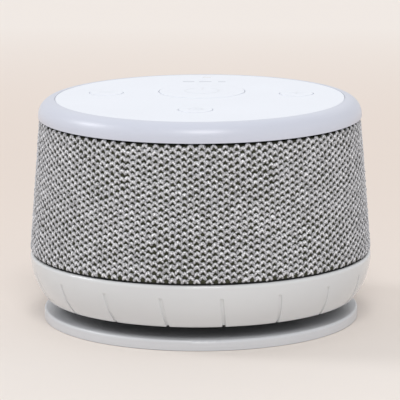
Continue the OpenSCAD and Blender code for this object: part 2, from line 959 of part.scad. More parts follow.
// Plastic end cap with a seat for the upper bush and two terminals
module motor_end_cap() {
    color("#202124")
        difference() {
            union() {
                rod(motor_r, motor_top, cap_t);
                rod(magnet_r, motor_top - cap_spigot, cap_spigot + eps);
                for (side = [-1, 1])
                    translate([side * terminal_x - terminal_t / 2, -terminal_w / 2, cap_top - eps])
                        cube([terminal_t, terminal_w, terminal_h]);
            }
            rod(bush_r + eps, motor_top - cap_spigot - cut, cap_t + cap_spigot + 2 * cut);
        }
}

// Sintered bronze bushes that the shaft runs in
module motor_bushes() {
    color("#b08a4e") {
        tube(bush_r, shaft_r + bush_gap, motor_z - boss_drop, bush_h);
        tube(bush_r, shaft_r + bush_gap, cap_top - bush_h + bush_proud, bush_h);
    }
}

// Two screws from below that hold the motor to its bracket
module motor_screws() {
    color("#8f9296")
        around(2, 0)
            translate([motor_screw_circle, 0, 0])
                screw_up(bracket_z, medium_screw, bracket_t + can_t + motor_screw_end);
}

// Shaft through both bushes, down to the impeller
module motor_shaft() {
    low = fan_z + fan_plate_t + fit_gap;
    color("#d5d8da")
        rod(shaft_r, low, cap_top + shaft_end - low);
}

// Laminated armature with five poles, and the commutator above it
module armature() {
    color("#a5672f")
        difference() {
            union() {
                rod(armature_r, armature_z, armature_h);
                rod(commutator_r, armature_z + armature_h - eps, commutator_h);
            }
            rod(shaft_r + eps, armature_z - cut, armature_h + commutator_h + 2 * cut);
            around(5, 0)
                translate([armature_r - armature_slot_l, -armature_slot_w / 2, armature_z - cut])
                    cube([armature_slot_l + cut, armature_slot_w, armature_h + 2 * cut]);
        }
}

// Thin washers on the shaft that keep it from sliding in its bushes
module thrust_washers() {
    color("#e4e2da") {
        tube(washer_r, shaft_r + eps, motor_z - boss_drop - run_gap - washer_t, washer_t);
        tube(washer_r, shaft_r + eps, armature_z - washer_t - fit_gap, washer_t + fit_gap);
    }
}

// Centrifugal impeller: back plate, leaning blades, top ring and hub
module impeller() {
    blade_l = fan_r * 0.34;
    color("#e7e7e4")
        difference() {
            union() {
                rod(fan_r, fan_z, fan_plate_t);
                rod(hub_r, fan_z, hub_h);
                tube(fan_r, fan_r - fan_ring_w, fan_z + fan_h - fan_plate_t, fan_plate_t);
                intersection() {
                    tube(fan_r, fan_r * 0.6, fan_z, fan_h);
                    around(blade_count)
                        translate([fan_r - blade_l, 0, fan_z + fan_plate_t / 2])
                            rotate([0, 0, -blade_lean])
                                cube([blade_l * 1.3, blade_t, fan_h - fan_plate_t]);
                }
            }
            rod(insert_r + eps, fan_z + fan_plate_t, fan_h);
            translate([0, 0, set_screw_z])
                rotate([0, 90, 0])
                    cylinder(r = set_screw_r + screw_clear, h = hub_r + cut);
        }
}

// Brass insert in the hub, clamped on the shaft
module hub_insert() {
    low = fan_z + fan_plate_t;
    color("#c8a24a")
        difference() {
            rod(insert_r, low, fan_z + hub_h + insert_proud - low);
            rod(shaft_r + eps, low + fit_gap, hub_h + insert_proud);
            translate([0, 0, set_screw_z])
                rotate([0, 90, 0])
                    cylinder(r = set_screw_r + eps, h = hub_r + cut);
        }
}

// Set screw through hub and insert on to the shaft
module hub_set_screw() {
    length = hub_r - shaft_r - 0.5;
    color("#3f4246")
        translate([shaft_r + eps, 0, set_screw_z])
            rotate([0, 90, 0])
                difference() {
                    cylinder(r = set_screw_r, h = length);
                    translate([0, 0, length - set_screw_r])
                        cylinder(r = set_screw_r / 2, h = 2 * set_screw_r, $fn = 6);
                }
}

// ---------------------------------------------------------------- leads

// Lead from the socket, through pan and chamber, up to the board
module power_lead() {
    under_fan = pan_top + power_lead_r + 0.4;
    color("#1b1b1c")
        lead([[0, jack_back, power_lead_z], [0, jack_back - 2, power_lead_z],
            [0, jack_back - 4, power_lead_z], [0, pan_hole_y + 5, pan_z - 0.6],
            [0, pan_hole_y, pan_z + pan_t / 2], [0, pan_hole_y - 6, under_fan],
            [0, lead_up_y + 7, under_fan], [0, lead_up_y + 2, under_fan + 2],
            [0, lead_up_y, under_fan + 7], [0, lead_up_y, housing_top],
            [0, lead_up_y, connector_z - 12], [0, lead_up_y + 2, connector_z - 4],
            [0, power_socket_y - 7, connector_mid_z],
            [0, power_socket_y - 5, connector_mid_z],
            [0, power_socket_y - connector_w / 2, connector_mid_z]],
            power_lead_r, [1, 0, 0]);
}

// Short lead from the motor's terminal to the board
module motor_lead() {
    start_x = terminal_x + terminal_t / 2;
    start_z = cap_top + terminal_h / 2;
    color("#8c2f2a")
        lead([[start_x, 0, start_z], [start_x + 3, 0, start_z + 0.1],
            [(start_x + motor_socket_x) / 2, 0, (start_z + connector_mid_z) / 2],
            [motor_socket_x - 3, 0, connector_mid_z],
            [motor_socket_x, 0, connector_mid_z]],
            motor_lead_r, [0, 1, 0]);
}

// ---------------------------------------------------------------- fabric body

// Radius of the sleeve's outer face at height z
function sleeve_r(z) =
    sleeve_r0 + (sleeve_r1 - sleeve_r0) * (z - sleeve_z) / (sleeve_top - sleeve_z);

// Slotted cage under the fabric, with a flange at each end
module grille_cage() {
    back = sleeve_t + fit_gap;
    low = sleeve_r(cage_z) - back;
    high = sleeve_r(cage_top) - back;
    first_row = cage_z + slot_sill;
    row_h = (cage_flange_z - slot_head - first_row + slot_gap) / slot_rows - slot_gap;
    slot_in_r = min(low, high) - cage_wall - 2 * cut;
    color("#3c3d40")
        difference() {
            rotate_extrude()
                polygon([[low, cage_z], [high, cage_top], [high - cage_wall, cage_top],
                    [high - cage_wall, cage_flange_z + cage_flange_t],
                    [cage_flange_r, cage_flange_z + cage_flange_t],
                    [cage_flange_r, cage_flange_z], [high - cage_wall, cage_flange_z],
                    [low - cage_wall, cage_z + cage_foot_t],
                    [cage_seat_r, cage_z + cage_foot_t], [cage_seat_r, cage_z]]);
            for (row = [0 : slot_rows - 1])
                around(slot_count, row * 180 / slot_count)
                    translate([slot_in_r, -slot_w / 2, first_row + row * (row_h + slot_gap)])
                        cube([max(low, high), slot_w, row_h]);
            around(4, 45)
                translate([cage_screw_circle, 0, 0])
                    rod(small_screw + eps, cage_z - cut, cage_foot_t + 2 * cut);
            around(4, 0)
                translate([bezel_screw_circle, 0, 0])
                    rod(small_screw + screw_clear, cage_flange_z - cut, cage_flange_t + 2 * cut);
        }
}

// Screws from below that hold the cage on the flange
module cage_screws() {
    seat = flange_z + cage_screw_recess;
    color("#8f9296")
        around(4, 45)
            translate([cage_screw_circle, 0, 0])
                screw_up(seat, small_screw, cage_z + cage_foot_t - run_gap - seat);
}

// Knitted sleeve stretched over the cage, both edges turned in
module fabric_sleeve() {
    low = sleeve_z + sleeve_lip;
    high = sleeve_top - sleeve_t;
    hem_r = flange_r + sleeve_hem_gap;
    color("#8e8e8c")
        rotate_extrude()
            polygon([[hem_r, sleeve_z], [sleeve_r0 - sleeve_edge, sleeve_z],
                [sleeve_r0, sleeve_z + sleeve_edge],
                [sleeve_r(sleeve_top - sleeve_roll), sleeve_top - sleeve_roll],
                [sleeve_r1 - sleeve_roll * 0.35, sleeve_top - sleeve_roll * 0.35],
                [sleeve_r1 - sleeve_roll, sleeve_top], [sleeve_r1 - sleeve_turn_in, sleeve_top],
                [sleeve_r1 - sleeve_turn_in, high], [sleeve_r(high) - sleeve_t, high],
                [sleeve_r(low) - sleeve_t, low], [hem_r, low]]);
}

// ---------------------------------------------------------------- top

// Bezel with a rounded shoulder, a ledge for the plate and four screw bosses
module top_bezel() {
    boss_z = cage_flange_z + cage_flange_t;
    color("#e2e4ec")
        difference() {
            union() {
                rotate_extrude()
                    difference() {
                        union() {
                            translate([0, bezel_z])
                                square([bezel_r, bezel_h - bezel_round]);
                            translate([0, bezel_z])
                                square([bezel_r - bezel_round, bezel_h]);
                            intersection() {
                                translate([bezel_r - bezel_round, top_z - bezel_round])
                                    circle(r = bezel_round, $fn = 128);
                                translate([0, bezel_z])
                                    square([bezel_r, bezel_h]);
                            }
                        }
                        translate([0, bezel_z - cut])
                            square([ledge_r, bezel_h + 2 * cut]);
                        translate([0, plate_z])
                            square([seat_r, plate_t + cut]);
                        translate([0, bezel_z - cut])
                            square([bezel_r - bezel_wall, ledge_z - bezel_z + cut]);
                    }
                around(4, 0)
                    translate([bezel_screw_circle, 0, 0])
                        rod(bezel_boss_r, boss_z, ledge_z + eps - boss_z);
            }
            around(4, 0)
                translate([bezel_screw_circle, 0, 0])
                    rod(small_screw + eps, cage_flange_z, bezel_screw_l + fit_gap);
        }
}

// Screws through the cage's upper flange into the bezel
module bezel_screws() {
    color("#8f9296")
        around(4, 0)
            translate([bezel_screw_circle, 0, 0])
                screw_up(cage_flange_z, small_screw, bezel_screw_l);
}

// Flat top plate with holes for buttons and lights, posts and snap hooks
module top_plate() {
    post_h = plate_z - board_top;
    color("#eceef4")
        difference() {
            union() {
                translate([0, 0, plate_z])
                    rotate_extrude()
                        slab_section(plate_r, plate_t, plate_edge, plate_edge);
                for (x = [-1, 1], y = [-1, 1])
                    translate([x * board_post_at, y * board_post_at, 0])
                        rod(board_post_r, board_top, post_h + eps);
                for (p = frame_posts)
                    translate([p[0], p[1], 0])
                        rod(frame_post_r, frame_z + frame_t, plate_z - frame_z - frame_t + eps);
                around(hook_count, 45)
                    plate_hook();
            }
            translate([0, power_y, 0])
                rod(power_r + key_gap, plate_z - cut, plate_t + 2 * cut);
            for (p = keys)
                translate([p[0], p[1], 0])
                    rod(key_r + key_gap, plate_z - cut, plate_t + 2 * cut);
            for (i = [0 : 2])
                translate([(i - 1) * light_pitch, light_y, plate_z + plate_t / 2])
                    cube([light_w[i] + 2 * light_gap, light_t + 2 * light_gap, plate_t + cut],
                        center = true);
            translate([0, indicator_y, 0])
                rod(indicator_r + light_gap, plate_z - cut, plate_t + 2 * cut);
            for (x = [-1, 1], y = [-1, 1])
                translate([x * board_post_at, y * board_post_at, 0])
                    rod(small_screw + eps, board_top - cut, board_screw_grip + 2 * cut);
            for (p = frame_posts)
                translate([p[0], p[1], 0])
                    rod(small_screw + eps, frame_z, frame_drop);
        }
}

// Snap hook that grips the underside of the bezel's ledge
module plate_hook() {
    barb_z = ledge_z - fit_gap - hook_t;
    translate([hook_r - hook_t, -hook_w / 2, barb_z])
        cube([hook_t, hook_w, plate_z - barb_z + eps]);
    translate([hook_r - eps, -hook_w / 2, barb_z])
        cube([hook_reach, hook_w, hook_t]);
}

// A round button: cap flush in the plate, retaining rim below it and a stem to its switch
module button_cap(r) {
    difference() {
        union() {
            translate([0, 0, key_rim_z])
                rotate_extrude()
                    slab_section(r, top_z - key_rim_z, key_edge, key_foot_edge);
            rod(r + key_rim, key_rim_z, key_rim_t);
        }
        tube(r - key_wall, stem_r + stem_root, key_rim_z - cut, key_rim_t + cut);
    }
    rod(stem_r, plunger_top, key_rim_z - plunger_top + cut);
}

// Large power button with three extra stems that keep it level
module power_button() {
    color("#eceef4")
        translate([0, power_y, 0]) {
            button_cap(power_r);
            for (p = guide_at)
                translate([p[0], p[1], 0])
                    rod(guide_r, frame_z - guide_dip, key_rim_z + key_rim_t + guide_dip - frame_z + eps);
        }
}

// Left button
module minus_button() {
    color("#eceef4")
        translate([keys[0][0], keys[0][1], 0])
            button_cap(key_r);
}

// Right button
module plus_button() {
    color("#eceef4")
        translate([keys[1][0], keys[1][1], 0])
            button_cap(key_r);
}

// Front button
module timer_button() {
    color("#eceef4")
        translate([keys[2][0], keys[2][1], 0])
            button_cap(key_r);
}

// Plunger of a switch, on the end of the button's stem
module plunger(at) {
    color("#151516")
        translate([at[0], at[1], 0])
            rod(plunger_r, plunger_z, plunger_h);
}

module power_plunger() {
    plunger([0, power_y]);
}

module minus_plunger() {
    plunger(keys[0]);
}

module plus_plunger() {
    plunger(keys[1]);
}

module timer_plunger() {
    plunger(keys[2]);
}

// Frame under the plate that guides the stems
module key_frame() {
    color("#46484c")
        difference() {
            union() {
                translate([0, power_y, 0])
                    rod(power_r, frame_z, frame_t);
                for (p = keys)
                    translate([p[0], p[1], 0])
                        rod(key_r, frame_z, frame_t);
                translate([-side_key_x, side_key_y - frame_arm_w / 2, frame_z])
                    cube([2 * side_key_x, frame_arm_w, frame_t]);
                translate([-frame_arm_w / 2, -front_key_y, frame_z])
                    cube([frame_arm_w, front_key_y + power_y, frame_t]);
            }
            for (p = concat(keys, [[0, power_y]]))
                translate([p[0], p[1], 0])
                    rod(stem_r + run_gap, frame_z - cut, frame_t + 2 * cut);
            for (p = guide_at)
                translate([p[0], p[1] + power_y, 0])
                    rod(guide_r + run_gap, frame_z - cut, frame_t + 2 * cut);
            for (p = frame_posts)
                translate([p[0], p[1], 0])
                    rod(small_screw + screw_clear, frame_z - cut, frame_t + 2 * cut);
        }
}

// Screws that hold the key frame to the plate's posts
module frame_screws() {
    color("#8f9296")
        for (p = frame_posts)
            translate([p[0], p[1], 0])
                screw_up(frame_z, small_screw, frame_t + frame_screw_grip - fit_gap);
}

// Printed circuit board, flattened at the front
module control_board() {
    color("#1f5a3a")
        difference() {
            intersection() {
                rod(board_r, board_z, board_t);
                translate([-board_r, -front_key_y - 12, board_z - cut])
                    cube([2 * board_r, 2 * board_r, board_t + 2 * cut]);
            }
            for (x = [-1, 1], y = [-1, 1])
                translate([x * board_post_at, y * board_post_at, 0])
                    rod(small_screw + screw_clear, board_z - cut, board_t + 2 * cut);
        }
}

// Screws that hang the board from the plate's posts
module board_screws() {
    color("#8f9296")
        for (x = [-1, 1], y = [-1, 1])
            translate([x * board_post_at, y * board_post_at, 0])
                screw_up(board_z, small_screw, board_t + board_screw_grip);
}

// Bodies of the four tactile switches, each with a well for its plunger
module switch_bodies() {
    color("#c9cbce")
        for (p = concat(keys, [[0, power_y]]))
            translate([p[0], p[1], 0])
                difference() {
                    translate([-switch_w / 2, -switch_w / 2, board_top])
                        cube([switch_w, switch_w, switch_h]);
                    rod(plunger_r + fit_gap, plunger_z - key_travel - run_gap, switch_h);
                }
}

// Microcontroller on the underside of the board
module control_chip() {
    color("#18191b")
        translate([control_chip_at[0], control_chip_at[1], board_z - control_chip_t])
            cube([control_chip_w, control_chip_w, control_chip_t]);
}

// Motor driver on the underside of the board
module driver_chip() {
    color("#18191b")
        translate([driver_chip_at[0], driver_chip_at[1], board_z - driver_chip_t])
            cube([driver_chip_w, driver_chip_l, driver_chip_t]);
}

// Two electrolytic capacitors on the underside of the board
module board_capacitors() {
    color("#a9adb1")
        for (side = [-1, 1])
            translate([side * capacitor_at[0], capacitor_at[1], 0])
                rod(capacitor_r, board_z - capacitor_h, capacitor_h);
}

// Sockets on the board for the power lead and the motor lead
module lead_connectors() {
    color("#f1efe6") {
        translate([-connector_l / 2, power_socket_y - connector_w / 2, connector_z])
            cube([connector_l, connector_w, connector_h]);
        translate([motor_socket_x, -connector_l / 2, connector_z])
            cube([connector_w, connector_l, connector_h]);
    }
}

// Light emitting diodes under the row of lights and the lens
module status_leds() {
    color("#f6f3dc")
        for (p = concat([for (i = [-1 : 1]) [i * light_pitch, light_y]], [[0, indicator_y]]))
            translate([p[0] - led_l / 2, p[1] - led_w / 2, board_top])
                cube([led_l, led_w, led_h]);
}

// Clear moulding with three prongs that end flush in the plate
module status_light_guide() {
    leg_z = board_top + led_h;
    color("#cfd3da") {
        translate([-light_pitch - light_w[0] / 2, light_y - light_bar_w / 2, light_bar_z])
            cube([2 * light_pitch + (light_w[0] + light_w[2]) / 2, light_bar_w, light_bar_t]);
        for (i = [0 : 2])
            translate([(i - 1) * light_pitch, light_y, 0]) {
                translate([-light_w[i] / 2, -light_t / 2, light_bar_z])
                    cube([light_w[i], light_t, top_z - light_bar_z]);
                translate([-light_leg_l / 2, -light_leg_w / 2, leg_z])
                    cube([light_leg_l, light_leg_w, light_bar_z - leg_z + eps]);
            }
    }
}

// Small round lens near the plate's back edge
module indicator_lens() {
    leg_z = board_top + led_h;
    color("#cfd3da")
        translate([0, indicator_y, 0]) {
            rod(indicator_r, light_bar_z, top_z - light_bar_z);
            rod(indicator_r + indicator_rim, light_bar_z, light_bar_t);
            rod(indicator_leg_r, leg_z, light_bar_z - leg_z + eps);
        }
}

foot_pads();
foot_disc();
foot_column();
foot_screws();
dc_jack();
dc_jack_pin();
base_pan();
pan_screws();
glide_ring();
tone_housing();
chamber_lid();
lid_screws();
motor_bracket();
isolators();
bracket_screws();
motor_can();
motor_magnets();
motor_end_cap();
motor_bushes();
motor_screws();
motor_lead();
power_lead();
grille_cage();
cage_screws();
fabric_sleeve();
top_bezel();
bezel_screws();
top_plate();
key_frame();
frame_screws();
control_board();
board_screws();
switch_bodies();
control_chip();
driver_chip();
board_capacitors();
lead_connectors();
status_leds();
status_light_guide();
indicator_lens();
tone_collar();
tone_shutter();
collar_screws();
motor_shaft();
armature();
thrust_washers();
impeller();
hub_insert();
hub_set_screw();
power_button();
power_plunger();
minus_button();
minus_plunger();
plus_button();
plus_plunger();
timer_button();
timer_plunger();
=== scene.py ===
"""White noise sound machine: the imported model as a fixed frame, in its real finishes. The foot disc's skirt,
the motor's coils, the turning collar, the knitted cloth and the buttons are made here as meshes."""

import bmesh
import bpy
import numpy as np
from mathutils import Matrix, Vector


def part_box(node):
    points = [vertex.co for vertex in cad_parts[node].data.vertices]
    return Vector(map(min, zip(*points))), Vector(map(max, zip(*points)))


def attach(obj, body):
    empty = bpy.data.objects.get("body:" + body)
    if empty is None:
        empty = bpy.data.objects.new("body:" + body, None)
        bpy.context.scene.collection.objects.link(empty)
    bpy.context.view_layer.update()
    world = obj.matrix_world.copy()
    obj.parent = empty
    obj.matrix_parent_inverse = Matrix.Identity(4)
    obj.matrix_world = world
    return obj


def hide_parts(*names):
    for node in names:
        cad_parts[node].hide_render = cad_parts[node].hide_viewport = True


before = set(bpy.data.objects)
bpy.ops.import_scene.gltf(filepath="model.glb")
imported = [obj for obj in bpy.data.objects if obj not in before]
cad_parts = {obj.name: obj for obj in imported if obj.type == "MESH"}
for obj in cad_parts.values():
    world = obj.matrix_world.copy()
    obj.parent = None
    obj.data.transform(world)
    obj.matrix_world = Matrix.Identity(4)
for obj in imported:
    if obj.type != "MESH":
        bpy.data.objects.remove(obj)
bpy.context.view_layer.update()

MM = 0.001
scene = bpy.context.scene
scene.view_settings.view_transform = "Standard"


# ---------------------------------------------------------------- where the machine stands
# A pale table under an overcast sky that is brightest at the horizon. One soft light stands high in front and
# one behind, and a window on each side. The camera looks down a little on the front, from far off, through a
# long lens.


def linear(code):
    """Linear light of an sRGB hex colour: c becomes ((c + 0.055) / 1.055) to the power 2.4, or c / 12.92 near
    black."""
    c = np.array([int(code[i : i + 2], 16) for i in (1, 3, 5)]) / 255
    return (*np.where(c > 0.04045, ((c + 0.055) / 1.055) ** 2.4, c / 12.92), 1.0)


def add(tree, kind, inputs=(), **settings):
    """Adds a shader node: settings are its properties, inputs its sockets, each a plain value or a socket to
    link from."""
    node = tree.nodes.new("ShaderNode" + kind)
    for name, value in settings.items():
        setattr(node, name, value)
    for key, value in dict(inputs).items():
        if isinstance(value, bpy.types.NodeSocket):
            tree.links.new(value, node.inputs[key])
        else:
            node.inputs[key].default_value = value
    return node


def new_material(name):
    """An empty material, its node tree and the Object coordinates that its patterns are laid out on."""
    material = bpy.data.materials.new(name)
    material.use_nodes = True
    tree = material.node_tree
    tree.nodes.clear()
    return material, tree, add(tree, "TexCoord").outputs["Object"]


def skin(name, grids, material, round_rows=False, round_columns=True):
    """A mesh from grids of points, each of shape (sheets, rows, columns, 3) in metres. A point is joined with
    the next one in its row and in its column, and a round way also joins its last to its first."""
    points, quads, first = [], [], 0
    for grid in grids:
        sheets, rows, columns = grid.shape[:3]
        i = np.arange(rows if round_rows else rows - 1)[:, None]
        j = np.arange(columns if round_columns else columns - 1)
        steps = ((0, 0), (0, 1), (1, 1), (1, 0))
        corners = [(i + di) % rows * columns + (j + dj) % columns for di, dj in steps]
        sheet_quads = np.stack(corners, -1).reshape(-1, 4)
        sheet_first = first + np.arange(sheets)[:, None, None] * rows * columns
        quads.append((sheet_quads + sheet_first).reshape(-1, 4))
        points.append(grid.reshape(-1, 3))
        first += grid.size // 3
    points, quads = np.concatenate(points), np.concatenate(quads)
    mesh = bpy.data.meshes.new(name)
    mesh.vertices.add(len(points))
    mesh.vertices.foreach_set("co", points.astype(np.float32).ravel())
    mesh.loops.add(quads.size)
    mesh.loops.foreach_set("vertex_index", quads.astype(np.int32).ravel())
    mesh.polygons.add(len(quads))
    mesh.polygons.foreach_set("loop_start", np.arange(len(quads), dtype=np.int32) * 4)
    mesh.update(calc_edges=True)
    mesh.materials.append(material)
    piece = bpy.data.objects.new(name, mesh)
    scene.collection.objects.link(piece)
    return piece


MERGE = 1e-7
EDGE_ANGLE = np.radians(38)


def close(piece, smooth_all=False):
    """Merges the points that coincide at seams and poles, turns the faces outwards and shades them smooth,
    apart from edges sharper than EDGE_ANGLE."""
    closed = bmesh.new()
    closed.from_mesh(piece.data)
    bmesh.ops.remove_doubles(closed, verts=closed.verts, dist=MERGE)
    bmesh.ops.recalc_face_normals(closed, faces=closed.faces)
    closed.to_mesh(piece.data)
    closed.free()
    piece.data.polygons.foreach_set("use_smooth", np.ones(len(piece.data.polygons), dtype=bool))
    if not smooth_all:
        piece.data.set_sharp_from_angle(angle=EDGE_ANGLE)
    return piece


LENS_MM, SENSOR_MM = 281.4, 36
CAMERA_AWAY, CAMERA_UP = 1352 * MM, 320 * MM
CAMERA_AZIMUTH, CAMERA_PITCH, CAMERA_ROLL = np.radians([3.3, -11.234, -0.296])
CAMERA_SHIFT = -0.0009
camera = bpy.data.objects.new("camera", bpy.data.cameras.new("camera"))
camera.data.lens = LENS_MM
camera.data.sensor_width = SENSOR_MM
camera.data.shift_x = CAMERA_SHIFT
camera_side = [CAMERA_AWAY * np.sin(CAMERA_AZIMUTH), -CAMERA_AWAY * np.cos(CAMERA_AZIMUTH)]
camera.location = (*camera_side, CAMERA_UP)
aim = Matrix.Identity(3)
for axis, angle in (("Z", CAMERA_AZIMUTH), ("X", np.pi / 2 + CAMERA_PITCH), ("Z", CAMERA_ROLL)):
    aim = aim @ Matrix.Rotation(angle, 3, axis)
camera.rotation_euler = aim.to_euler()
scene.collection.objects.link(camera)
scene.camera = camera

SKY_LOW, SKY_HIGH = 0.79, 0.48
world = bpy.data.worlds.new("overcast_sky")
world.use_nodes = True
tree = world.node_tree
tree.nodes.clear()
direction = add(tree, "TexCoord").outputs["Generated"]
height = add(tree, "SeparateXYZ", {0: direction}).outputs["Z"]
level = add(tree, "MapRange", {"Value": height, "To Min": SKY_LOW, "To Max": SKY_HIGH})
sky = add(tree, "Background", {"Color": linear("#fefeff"), "Strength": level.outputs["Result"]})
add(tree, "OutputWorld", {"Surface": sky.outputs["Background"]})
scene.world = world

# Each lamp: its level, its spread, the side it comes from and how high it stands, in degrees
for name, level, spread, azimuth, elevation, colour in (
    ("front_light", 1.02, 22, 6, 55, "#fffefd"),
    ("rear_light", 0.3, 70, 176, 52, "#fffefd"),
    ("left_window", 0.6, 18, -99, 38, "#fcfdff"),
    ("right_window", 0.12, 60, 70, 25, "#fcfdff"),
):
    lamp = bpy.data.objects.new(name, bpy.data.lights.new(name, "SUN"))
    lamp.data.energy = level
    lamp.data.angle = np.radians(spread)
    lamp.data.color = linear(colour)[:3]
    lamp.rotation_euler = (np.radians(90 - elevation), 0, np.radians(azimuth))
    scene.collection.objects.link(lamp)

# Painted light on the table: its colour is darkest and warmest along one line behind the machine and pales
# with the square of the distance from it, as the studio light falls off across it
TABLE_HALF = 3.0
TABLE_PAINTED_DIM_Y, TABLE_BAND = 0.4, 0.5
table_finish_and_painted_light, tree, place = new_material("matt_table_finish_and_painted_light")
depth = add(tree, "SeparateXYZ", {0: place}).outputs["Y"]
off = add(tree, "MapRange", {
    "Value": depth, "From Min": TABLE_PAINTED_DIM_Y, "From Max": TABLE_PAINTED_DIM_Y + TABLE_BAND},
    clamp=False).outputs["Result"]
off = add(tree, "Math", {0: off, 1: off}, operation="MULTIPLY").outputs["Value"]
# Painted light: the mix from the darker, warmer colour to the paler one stands for the light's fall-off across
# the table
paint = add(tree, "Mix", {"Factor": off, 6: linear("#e3d7ce"), 7: linear("#ece5df")}, data_type="RGBA")
shader = add(tree, "BsdfPrincipled", {
    "Base Color": paint.outputs[2], "Roughness": 0.9, "Specular IOR Level": 0.1})
add(tree, "OutputMaterial", {"Surface": shader.outputs["BSDF"]})
x, y = np.meshgrid([-TABLE_HALF, TABLE_HALF], [-TABLE_HALF, TABLE_HALF])
table = skin("table", [np.stack([x, y, x * 0], -1)[None]], table_finish_and_painted_light, round_columns=False)


# ---------------------------------------------------------------- foot
# Four black rubber pads glued under a white ABS disc, and the dark ABS column that lifts the body off it.
# Four zinc-plated screws go up through disc and column into the base pan.
FLOW_MM, FLOW_DARKER, GLOSS_SWING = 30, 0.96, 0.06
MARK_DARKER, MARK_SWING = 0.8, 0.1


def scaled(colour, share):
    """Linear light of an sRGB hex colour, times share."""
    return (*[share * c for c in linear(colour)[:3]], 1.0)


def moulded(name, colour, roughness, grain_mm=0.5, grain_depth_mm=0.01, specular=0.5, ior=1.53):
    """Injection-moulded plastic: the tool's spark-eroded grain as fine bumps, with a faint drift in colour
    and gloss. A real grain of 0.1 mm is drawn 0.3 to 0.8 mm wide, the finest that shows."""
    material, tree, place = new_material(name)
    scale = 1 / (grain_mm * MM)
    grain = add(tree, "TexNoise", {"Vector": place, "Scale": scale, "Detail": 2.0, "Roughness": 0.6})
    flow = add(tree, "TexNoise", {"Vector": place, "Scale": 1 / (FLOW_MM * MM), "Detail": 2.0})
    light, dark = linear(colour), scaled(colour, FLOW_DARKER)
    tone = add(tree, "Mix", {"Factor": flow.outputs["Fac"], 6: dark, 7: light}, data_type="RGBA")
    gloss = add(tree, "MapRange", {
        "Value": grain.outputs["Fac"], "To Min": roughness - GLOSS_SWING, "To Max": roughness + GLOSS_SWING})
    bump = add(tree, "Bump", {
        "Height": grain.outputs["Fac"], "Strength": 0.6, "Distance": grain_depth_mm * MM})
    shader = add(tree, "BsdfPrincipled", {
        "Base Color": tone.outputs[2], "Roughness": gloss.outputs["Result"], "Normal": bump.outputs["Normal"],
        "Specular IOR Level": specular, "IOR": ior})
    add(tree, "OutputMaterial", {"Surface": shader.outputs["BSDF"]})
    return material


def metal(name, colour, roughness, mark_mm, lie=(1, 1, 1), mark_depth_mm=0.01):
    """Bare or plated metal with tool marks: noise of one mark's width, packed closer along the ways in which
    lie is large, so (1, 1, 20) gives rings round a turned part and (20, 20, 1) the draw lines up a deep-drawn
    one. Real marks of 0.02 to 0.1 mm are drawn 0.15 to 0.6 mm wide, the finest that shows."""
    material, tree, place = new_material(name)
    laid = add(tree, "Mapping", {"Vector": place, "Scale": lie})
    scale = 1 / (mark_mm * MM * max(lie))
    marks = add(tree, "TexNoise", {
        "Vector": laid.outputs["Vector"], "Scale": scale, "Detail": 2.0, "Roughness": 0.6})
    light, dark = linear(colour), scaled(colour, MARK_DARKER)
    tone = add(tree, "Mix", {"Factor": marks.outputs["Fac"], 6: dark, 7: light}, data_type="RGBA")
    gloss = add(tree, "MapRange", {
        "Value": marks.outputs["Fac"], "To Min": roughness - MARK_SWING, "To Max": roughness + MARK_SWING})
    bump = add(tree, "Bump", {
        "Height": marks.outputs["Fac"], "Strength": 0.5, "Distance": mark_depth_mm * MM})
    shader = add(tree, "BsdfPrincipled", {
        "Base Color": tone.outputs[2], "Metallic": 1.0, "Roughness": gloss.outputs["Result"],
        "Normal": bump.outputs["Normal"]})
    add(tree, "OutputMaterial", {"Surface": shader.outputs["BSDF"]})
    return material


def dress(material, *nodes):
    """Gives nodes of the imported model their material."""
    for node in nodes:
        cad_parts[node].data.materials.clear()
        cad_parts[node].data.materials.append(material)


rubber = moulded("matt_black_rubber", "#232324", 0.8, 0.6, 0.02, specular=0.2, ior=1.52)
white_shell = moulded("satin_white_abs", "#d9dbdd", 0.12, grain_depth_mm=0.006)
disc_white = moulded("eroded_white_abs", "#d3d5d9", 0.3, grain_depth_mm=0.006)
olive_shell = moulded("eroded_olive_black_abs", "#1e1f18", 0.6, specular=0.3)
zinc_plate = metal("zinc_plated_steel", "#b4b8bc", 0.35, 0.6)
dress(rubber, "foot_pads")
dress(disc_white, "foot_disc")
dress(olive_shell, "foot_column")
dress(zinc_plate, "foot_screws")

# The disc's narrow skirt, which hides the pads and stops just short of the table
disc_low, disc_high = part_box("foot_disc")
SKIRT_W, SKIRT_INSET, SKIRT_RISE = 1.6 * MM, 0.04 * MM, 0.65 * MM
SKIRT_CLEAR, SKIRT_ROUND, SKIRT_EDGE_POINTS = 0.15 * MM, 0.12 * MM, 5
TURN_STEPS, FINE_TURN_STEPS = 96, 240


def arc(centre, radius, start, end, count):
    """Points of a circle in the half plane of (r, z), from one angle to the other."""
    a = np.linspace(start, end, count)
    return np.stack([centre[0] + radius * np.cos(a), centre[1] + radius * np.sin(a)], -1)


def lathe(profile, centre=(0, 0), steps=TURN_STEPS):
    """A profile of (r, z) points turned once round the upright line through centre: a grid with one row for
    each point."""
    a = np.linspace(0, 2 * np.pi, steps, endpoint=False)
    r, z = np.asarray(profile)[:, :1], np.asarray(profile)[:, 1:]
    return np.stack([centre[0] + r * np.cos(a), centre[1] + r * np.sin(a), z + 0 * a], -1)[None]


outer_r, inner_r = disc_high[0] - SKIRT_INSET, disc_high[0] - SKIRT_INSET - SKIRT_W
edge_z, skirt_top = SKIRT_CLEAR + SKIRT_ROUND, disc_low[2] + SKIRT_RISE
outer_edge = arc((outer_r - SKIRT_ROUND, edge_z), SKIRT_ROUND, 0, -np.pi / 2, SKIRT_EDGE_POINTS)
inner_edge = arc((inner_r + SKIRT_ROUND, edge_z), SKIRT_ROUND, -np.pi / 2, -np.pi, SKIRT_EDGE_POINTS)
section = np.concatenate([[(outer_r, skirt_top)], outer_edge, inner_edge, [(inner_r, skirt_top)]])
skirt = lathe(section, steps=FINE_TURN_STEPS)
foot_lip = close(skin("foot_disc_lip", [skirt], disc_white, round_rows=True))
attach(foot_lip, "machine")


